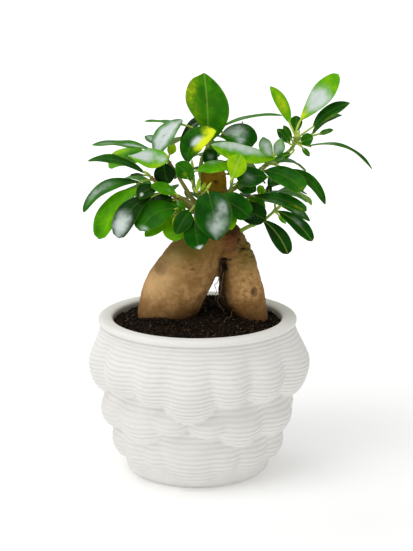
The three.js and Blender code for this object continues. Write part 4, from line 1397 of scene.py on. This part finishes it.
# %% Twig that rises to the left
grow_shoot(
    "shoot_upper_left", 2, 0.35,
    [
        (3.5, -3, 179, 2), (-3, -9, 186, 1.9), (-9.2, -10, 196, 1.6),
        (-13.5, -9, 203, 1.4), (-18, -9, 210, 1.2), (-22, -8, 215, 1),
    ],
    [
        (1, (-26, -9, 214.5), (-9.5, -3, 236.8), 15.5, (-0.5, -0.75, 0.5), (-3, 0, 2), "green",
         ("bloom", 0.5, 0, 0.6, 0.8, 1), ("specks", 0.55, 0, 0.35, 0.12, 1), {"full": 0.48}),
        (0.95, (-18.5, -15, 215.3), (-44, -21, 216.8), 15, (-0.1, -0.75, 0.65), (0, 0, -2), "fresh",
         ("bloom", 0.7, -0.3, 0.45, 0.7, 0.9), ("bloom", 0.2, 0.1, 0.2, 0.7, 0.6),
         ("blush", 0.4, 0.8, 0.4, 0.4, 0.3), {"full": 0.4, "sharp": 1.1}),
        (0.9, (-29, 0, 216.5), (-69, 8, 218.7), 13, (0, -0.15, 1), (0, 0, 2.5), "green",
         ("bloom", 0.3, 0.2, 0.25, 0.6, 0.6), ("bloom", 0.75, 0.2, 0.2, 0.8, 0.4)),
        (0.8, (-30, 4, 209), (-59, 18, 205), 21, (0, -0.5, 0.85), (0, 0, 3), "fresh", BLUNT,
         ("blush", 0.8, -0.7, 0.3, 0.4, 0.4),
         ("shade", 0.4, 0, 0.3, 0.8, 0.25)),
        (0.8, (-21.5, -12.5, 210.8), (-18, -14, 197.3), 15, (-0.2, -0.95, 0.3), (-1, -1, 0), "dark",
         ("bloom", 0.85, 0.5, 0.2, 0.4, 0.15)),
        (1, (-25, 0, 219), (-34, 6, 225), 9, (0, -0.2, 1), (0, 0, 1), "mid",
         ("bloom", 0.6, 0, 0.4, 1, 0.5)),
        (0.85, (-18, -5.5, 214.5), (-15, -7, 222), 6, (0.1, -0.9, 0.3), (0, 0, 0), "lime"),
    ],
)

# %% Twig that reaches far to the left
grow_shoot(
    "shoot_left", 3, 0.2,
    [
        (4, -3, 172, 2.3), (-2, -9.5, 178, 2.2), (-8, -14, 184, 1.9),
        (-14, -17, 189, 1.6), (-22, -19, 195, 1.4), (-29.5, -18, 202, 1.1),
    ],
    [
        (1, (-34.5, -16, 205), (-70, -17, 212.5), 10, (0, -0.45, 1), (0, 0, 4.5), "mid",
         ("blush", 0.5, -0.9, 0.5, 0.3, 0.3), ("shade", 0.25, 0, 0.25, 1, 0.2)),
        (0.95, (-37, -18, 199), (-73, -24, 180.5), 12, (-0.3, -0.5, 0.8), (-4, 0, 6), "mid",
         ("bloom", 0.6, -0.2, 0.4, 0.8, 0.38), ("shade", 0.1, 0, 0.15, 1, 0.25)),
        (1, (-33, -21, 204), (-42.5, -28, 205), 5, (0, -0.2, 1), (0, 0, 0.5), "dark"),
        (0.8, (-26, -23, 196), (-37, -30, 190), 12, (-0.3, -0.7, 0.6), (-1, -1, 2.5), "dark",
         ("bloom", 0.8, 0, 0.1, 0.3, 0.8)),
        (0.75, (-34, -20, 196), (-63, -28, 163.5), 16, (-0.4, -0.8, 0.45), (-5, 0, 4), "fresh", BLUNT,
         ("shade", 0.95, 0, 0.2, 1, 0.15), ("shade", 0.5, 0.9, 0.5, 0.3, 0.12)),
        (0.65, (-29, -24, 190.5), (-50.5, -34, 165.5), 15.5, (-0.3, -0.8, 0.5), (-3, -2, 5), "dark",
         ("bloom", 0.8, -0.1, 0.27, 0.9, 0.74), BLUNT),
        (0.6, (-13, -24, 192), (-29.5, -27, 198.2), 9, (0, -0.7, 0.7), (0, 0, 1), "green",
         ("bloom", 0.3, 0, 0.15, 0.6, 0.3)),
        (0.5, (-15, -18.5, 187), (-37, -24, 182), 13, (-0.2, -0.7, 0.7), (0, 0, 2.5), "dark"),
    ],
)

# %% Shoot over the left root
grow_shoot(
    "shoot_lower_left", 4, 0.6,
    [(1, -5, 163, 1.8), (-5, -14, 169, 1.7), (-10, -18, 175, 1.4), (-13, -19, 180, 1.1)],
    [
        (1, (-13.5, -25, 183), (-36.5, -37, 171), 20, (-0.2, -0.8, 0.6), (-2, 0, 4), "mid",
         ("bloom", 0.93, 0.3, 0.08, 0.8, 0.45), {"full": 0.58, "sharp": 0.42, "root": 0.5}),
        (0.8, (-15, -20, 177.5), (-33.5, -29, 165.5), 11, (-0.2, -0.8, 0.6), (0, 0, 1), "fresh",
         ("blush", 0.3, 0, 0.3, 1, 0.2)),
        (0.6, (-12, -20, 176), (-14, -27, 162), 16, (-0.2, -0.95, 0.2), (-1, -2, 0), "fresh"),
        (0.8, (-8.5, -20, 179.5), (-13, -23, 187), 8, (0, -0.8, 0.5), (0, 0, 0), "green"),
        (0.7, (-12, -7, 182), (-25, -5, 177.5), 12, (0, -0.9, 0.4), (0, 0, 1), "green"),
        (0.6, (-7, -10, 176), (-15, -13, 168.5), 10, (0, -0.9, 0.4), (0, 0, 1), "mid"),
    ],
)

# %% Shoot in front of the neck
grow_shoot(
    "shoot_front", 5, 0.5,
    [(8, -3.5, 178, 1.9), (4, -12, 184, 1.8), (3, -16, 189, 1.5), (6, -18, 194, 1.2)],
    [
        (0.5, (-4.5, -22, 180.5), (-13.5, -33, 168), 13, (-0.1, -0.85, 0.5), (0, -2, 2), "deep",
         ("blush", 0.6, -0.95, 0.35, 0.12, 0.5)),
        (0.6, (-1.7, -27, 177), (1.5, -36, 158.5), 17, (0, -0.95, 0.3), (-0.5, -2, 0), "deep",
         ("bloom", 0.95, 0.1, 0.09, 0.7, 0.95)),
        (0.9, (7, -23, 193.5), (12, -37, 164.5), 24.5, (-0.1, -0.9, 0.4), (1, -3, 1), "deep",
         ("bloom", 0.72, 0.2, 0.3, 0.75, 0.54), ("bloom", 0.38, 0.5, 0.25, 0.4, 0.48),
         {"root": 0.4, "full": 0.48}),
        (1, (10.5, -19, 188.5), (33.5, -27, 178), 17, (0.1, -0.8, 0.6), (0, -1, 3), "mid",
         ("shade", 0.72, 0, 0.32, 1, 0.2), ("bloom", 0.3, -0.5, 0.2, 0.4, 0.3), BLUNT),
        (0.8, (16, -19, 183.5), (22, -29, 170), 13, (0.2, -0.9, 0.4), (0, -1, 1), "fresh"),
    ],
)

# %% Lime shoot right of the stump
grow_shoot(
    "shoot_crown_right", 6, 0.8,
    [(15, -4, 183, 1.7), (21, -9, 190, 1.5), (22.5, -10, 198, 1.2)],
    [
        (1, (22, -20.5, 201.3), (28, -25, 218), 14, (-0.2, -0.9, 0.4), (0, 0, 0), "lime",
         {"full": 0.6, "veins": 0.5}),
        (0.7, (25, -11, 196.5), (38, -15, 192.5), 11, (0.1, -0.85, 0.5), (0, -1, 1), "deep"),
    ],
)

# %% Long shoot to the upper right
grow_shoot(
    "shoot_right_top", 7, 0.75,
    [
        (15.5, 1, 186, 2.1), (24, 1, 191, 2), (36, 0, 199, 1.8), (43, 1, 205, 1.7),
        (48, 2, 209, 1.5), (55, 3, 212, 1.4), (62, 2, 218, 1.3), (64.5, 2, 224, 1.1),
    ],
    [
        (1, (60, 1.5, 234), (47, -2, 258.5), 8.5, (0.3, -0.95, 0.2), (1.5, 0, 0.5), "fresh",
         ("blush", 0.5, 0, 0.4, 1, 0.45), ("specks", 0.5, 0.4, 0.15, 0.3, 1)),
        (1, (67, 2, 236), (91, 0, 266.3), 15, (-0.4, -0.85, 0.3), (0, -1, 0), "fresh",
         ("bloom", 0.45, 0, 0.25, 1.1, 0.98), ("blush", 0.05, 0.3, 0.15, 1, 0.7),
         {"full": 0.6, "sharp": 0.5}),
        (1, (64, 5, 227), (65, 14, 237), 8.5, (0, -0.9, 0.4), (0, 0, 1), "mid"),
        (1, (75, 0, 232), (98.5, -2, 247.8), 9.5, (-0.3, -0.75, 0.6), (-1.5, 0, 2), "deep",
         ("blush", 0.5, -0.9, 0.4, 0.3, 0.3)),
        (1, (75, 3, 227), (94, 3, 239), 7.5, (-0.3, -0.4, 0.9), (-1, 0, 3), "mid",
         ("bloom", 0.8, 0, 0.3, 1, 0.25)),
        (0.98, (79, 4, 226.5), (88.5, 4, 229.5), 5, (0, -0.5, 0.8), (0, 0, 0), "green",
         ("bloom", 0.5, 0, 0.4, 1, 0.3)),
        (1, (67, -1, 222), (75, -6, 225.5), 8.5, (0.1, -0.9, 0.4), (0, -0.5, 0.5), "mid"),
        (0.93, (72, 0, 219.5), (113.4, -6, 205.3), 7.5, (0.2, -0.1, 1), (3, 0, 7), "green",
         ("bloom", 0.2, 0, 0.2, 1, 0.4), ("shade", 0.8, 0, 0.3, 1, 0.3)),
        (0.93, (68, -2, 219), (72.8, -5, 213.5), 4, (0.2, -0.8, 0.5), (0, 0, 0), "green"),
        (0.93, (60, -1, 221), (51.6, -4, 231), 6.5, (-0.2, -0.9, 0.4), (0.5, 0, 0.5), "mid"),
        (0.96, (61.5, 1, 223), (56, 2, 232.5), 4.5, (-0.2, -0.9, 0.4), (0, 0, 0.5), "mid"),
        (0.68, (49.5, -2, 213), (42.5, -6, 226.3), 9.5, (0.3, -0.9, 0.3), (-1.5, 0, -0.5), "pale"),
        (0.68, (50, -2, 213.5), (54, -7, 225.5), 8, (-0.2, -0.95, 0.3), (1, 0, -0.5), "pale",
         ("shade", 0.3, 0, 0.3, 1, 0.15)),
        (0.75, (51.5, -1, 212), (9, -14, 222.5), 15, (-0.1, -0.7, 0.7), (0, 0, -2), "fresh",
         ("bloom", 0.55, -0.6, 0.62, 0.6, 0.74), ("blush", 0.6, 0.8, 0.4, 0.4, 0.35)),
        (0.45, (42.5, -6, 204), (68, -24, 194.5), 16, (0.2, -0.75, 0.6), (1, 0, 3), "mid", BLUNT,
         ("shade", 0.25, 0, 0.3, 1, 0.16), ("blush", 0.97, 0, 0.1, 1, 0.25)),
        (0.5, (58, 4, 203), (84, 4, 180), 10, (0.5, -0.6, 0.6), (3, 0, 4), "mid",
         ("blush", 0.5, 0, 0.4, 0.4, 0.16)),
        (0.4, (45.5, -12, 201), (26.5, -21.5, 199.5), 17, (-0.1, -0.7, 0.7), (0, -1, 2.5), "deep",
         ("bloom", 0.65, 0.1, 0.28, 0.7, 0.3), BLUNT),
        (0.5, (52, 12, 206), (72, 26, 198), 14, (0.3, 0, 1), (0, 0, 4), "mid"),
        (0.85, (61, -6, 215.5), (50, -11, 211), 6, (0, -0.6, 0.8), (0, 0, 0.5), "mid"),
    ],
)

# %% Shoot to the right
grow_shoot(
    "shoot_right", 8, 0.4,
    [(17, -2, 176, 1.9), (25, -6, 181, 1.7), (33, -8, 186, 1.4), (43, -6, 188, 1.1)],
    [
        (0.75, (36, -12, 188.5), (70, -28, 182), 10.5, (0.1, -0.6, 0.8), (0, 0, 3), "mid", BLUNT,
         ("shade", 0.3, 0, 0.4, 1, 0.2)),
        (1, (48, -2, 187), (67, 2, 180), 8, (0.1, -0.4, 1), (0, 0, 2), "deep"),
        (1, (46.5, -5, 189), (47, -4, 194.5), 4, (0, -1, 0.2), (0, 0, 0), "dark"),
        (0.8, (40, -9, 189), (42.8, -12, 195), 6, (-0.2, -0.9, 0.3), (0, 0, 0.5), "fresh"),
        (0.6, (24, -16, 182), (44, -21, 175), 16, (0.1, -0.85, 0.5), (0, -1, 1), "dark", BLUNT),
        (0.9, (47, 3, 191), (60, 21, 193), 13, (0.3, 0, 1), (0, 0, 3), "mid"),
        (0.55, (32.5, -12, 186.5), (44, -14, 181), 9, (0.1, -0.8, 0.6), (0, 0, 1), "green"),
    ],
)

# %% Green shoot from the neck's right side
grow_shoot(
    "shoot_lower_right", 9, 1,
    [(17, -2, 157, 2), (26, -7, 163, 1.9), (33, -9, 167.5, 1.7), (42.5, -11, 172, 1.3), (51, -10, 179, 1.1)],
    [
        (0.75, (42.5, -13, 173), (58.5, -27, 153.5), 11.5, (0.2, -0.95, 0.3), (1.5, 0, 1.5), "dark",
         ("bloom", 0.5, 0.4, 0.3, 0.3, 0.16), {"veins": 0.25, "sharp": 0.36, "full": 0.6}),
        (1, (51.5, -12, 179), (74, -25, 161.5), 10.5, (0.3, -0.8, 0.5), (1.5, 0, 2), "deep",
         {"veins": 0.2, "sharp": 0.36, "full": 0.6},
         ("bloom", 0.5, 0.2, 0.26, 0.6, 0.3)),
        (1, (52, -7, 184), (73.5, -7, 171), 9, (0.3, -0.6, 0.9), (0, 0, 1.5), "mid",
         ("bloom", 0.6, 0, 0.35, 0.8, 0.4)),
        (0.97, (52.5, -13, 176.5), (57.5, -15, 171), 3.5, (0.2, -0.9, 0.3), (0, 0, 0), "fresh"),
        (0.6, (37, -12, 172.5), (41, -14, 178), 4, (0, -0.9, 0.4), (0, 0, 0), "green"),
    ],
)

# %% [markdown]
# ## The shoots behind
# The photograph hides the back of the crown, and a real plant is leafy all round. Here
# leaves stand to the left and the right of each stem by turns: the lowest opens wide and
# the last points ahead. A small seeded draw makes each of them a little different.

# %% Shoots behind
# For each shoot its stem, how wide its leaves spread in degrees, how much they rise, its seed
BACK_SHOOTS = {
    "shoot_back_left": (
        [(4.5, 3, 174, 2), (-4, 12, 179, 1.8), (-15, 20, 183, 1.5), (-26, 27, 186, 1.1)], 75, 0.1, 47,
    ),
    "shoot_back": (
        [(11, 5, 186, 2.1), (12, 17, 194, 1.8), (13, 29, 199, 1.5), (13, 41, 202, 1.1)], 80, 0.15, 47,
    ),
    "shoot_back_right": (
        [(16, 4, 170, 2), (26, 12, 174, 1.8), (37, 20, 177, 1.5), (48, 27, 179, 1.1)], 60, 0.1, 36,
    ),
    "shoot_back_low": (
        [(9, 7, 160, 1.8), (9, 18, 162, 1.6), (8, 30, 165, 1.3), (7, 40, 165, 1)], 80, 0.1, 36,
    ),
}
LEAVES_EACH = 6
BACK_TONE = 0.5
PRIME = 2**31 - 1  # the draw goes through all whole numbers below this prime


def fan_leaves(stem, spread, rise, seed):
    """Leaves by turns to the left and right of a stem, from a small seeded draw."""
    state = seed * 7919

    def draw():
        nonlocal state
        state = state * 16807 % PRIME
        return state / PRIME

    draw()
    ahead = math.atan2(stem[-1][1] - stem[0][1], stem[-1][0] - stem[0][0])
    leaves = []
    for i in range(LEAVES_EACH):
        along = i / (LEAVES_EACH - 1)
        turn = (1 if i % 2 else -1) * spread * (1 - along) + 16 * (draw() - 0.5)
        angle = ahead + math.radians(turn)
        out = unit(np.array([math.cos(angle), math.sin(angle), rise + 0.5 * (draw() - 0.4)]))
        at = 0.5 + 0.5 * along
        base = line_point(stem, at)[:3] + out * (6 + 3 * draw())
        tip = base + out * (24 + 8 * draw())
        tip[2] -= 5 + 10 * draw()
        face = (0.5 * out[0], 0.5 * out[1], 1)
        width = 13 + 4 * draw()
        bow = (0, 0, 3 + 3 * draw())
        look = ("mid", "deep", "green")[i % 3]
        leaves.append((at, base, tip, width, face, bow, look))
    return leaves


for number, (name, (stem, spread, rise, seed)) in enumerate(BACK_SHOOTS.items(), 10):
    leaves = fan_leaves(stem, spread, rise, seed)
    grow_shoot(name, number, BACK_TONE, stem, leaves)
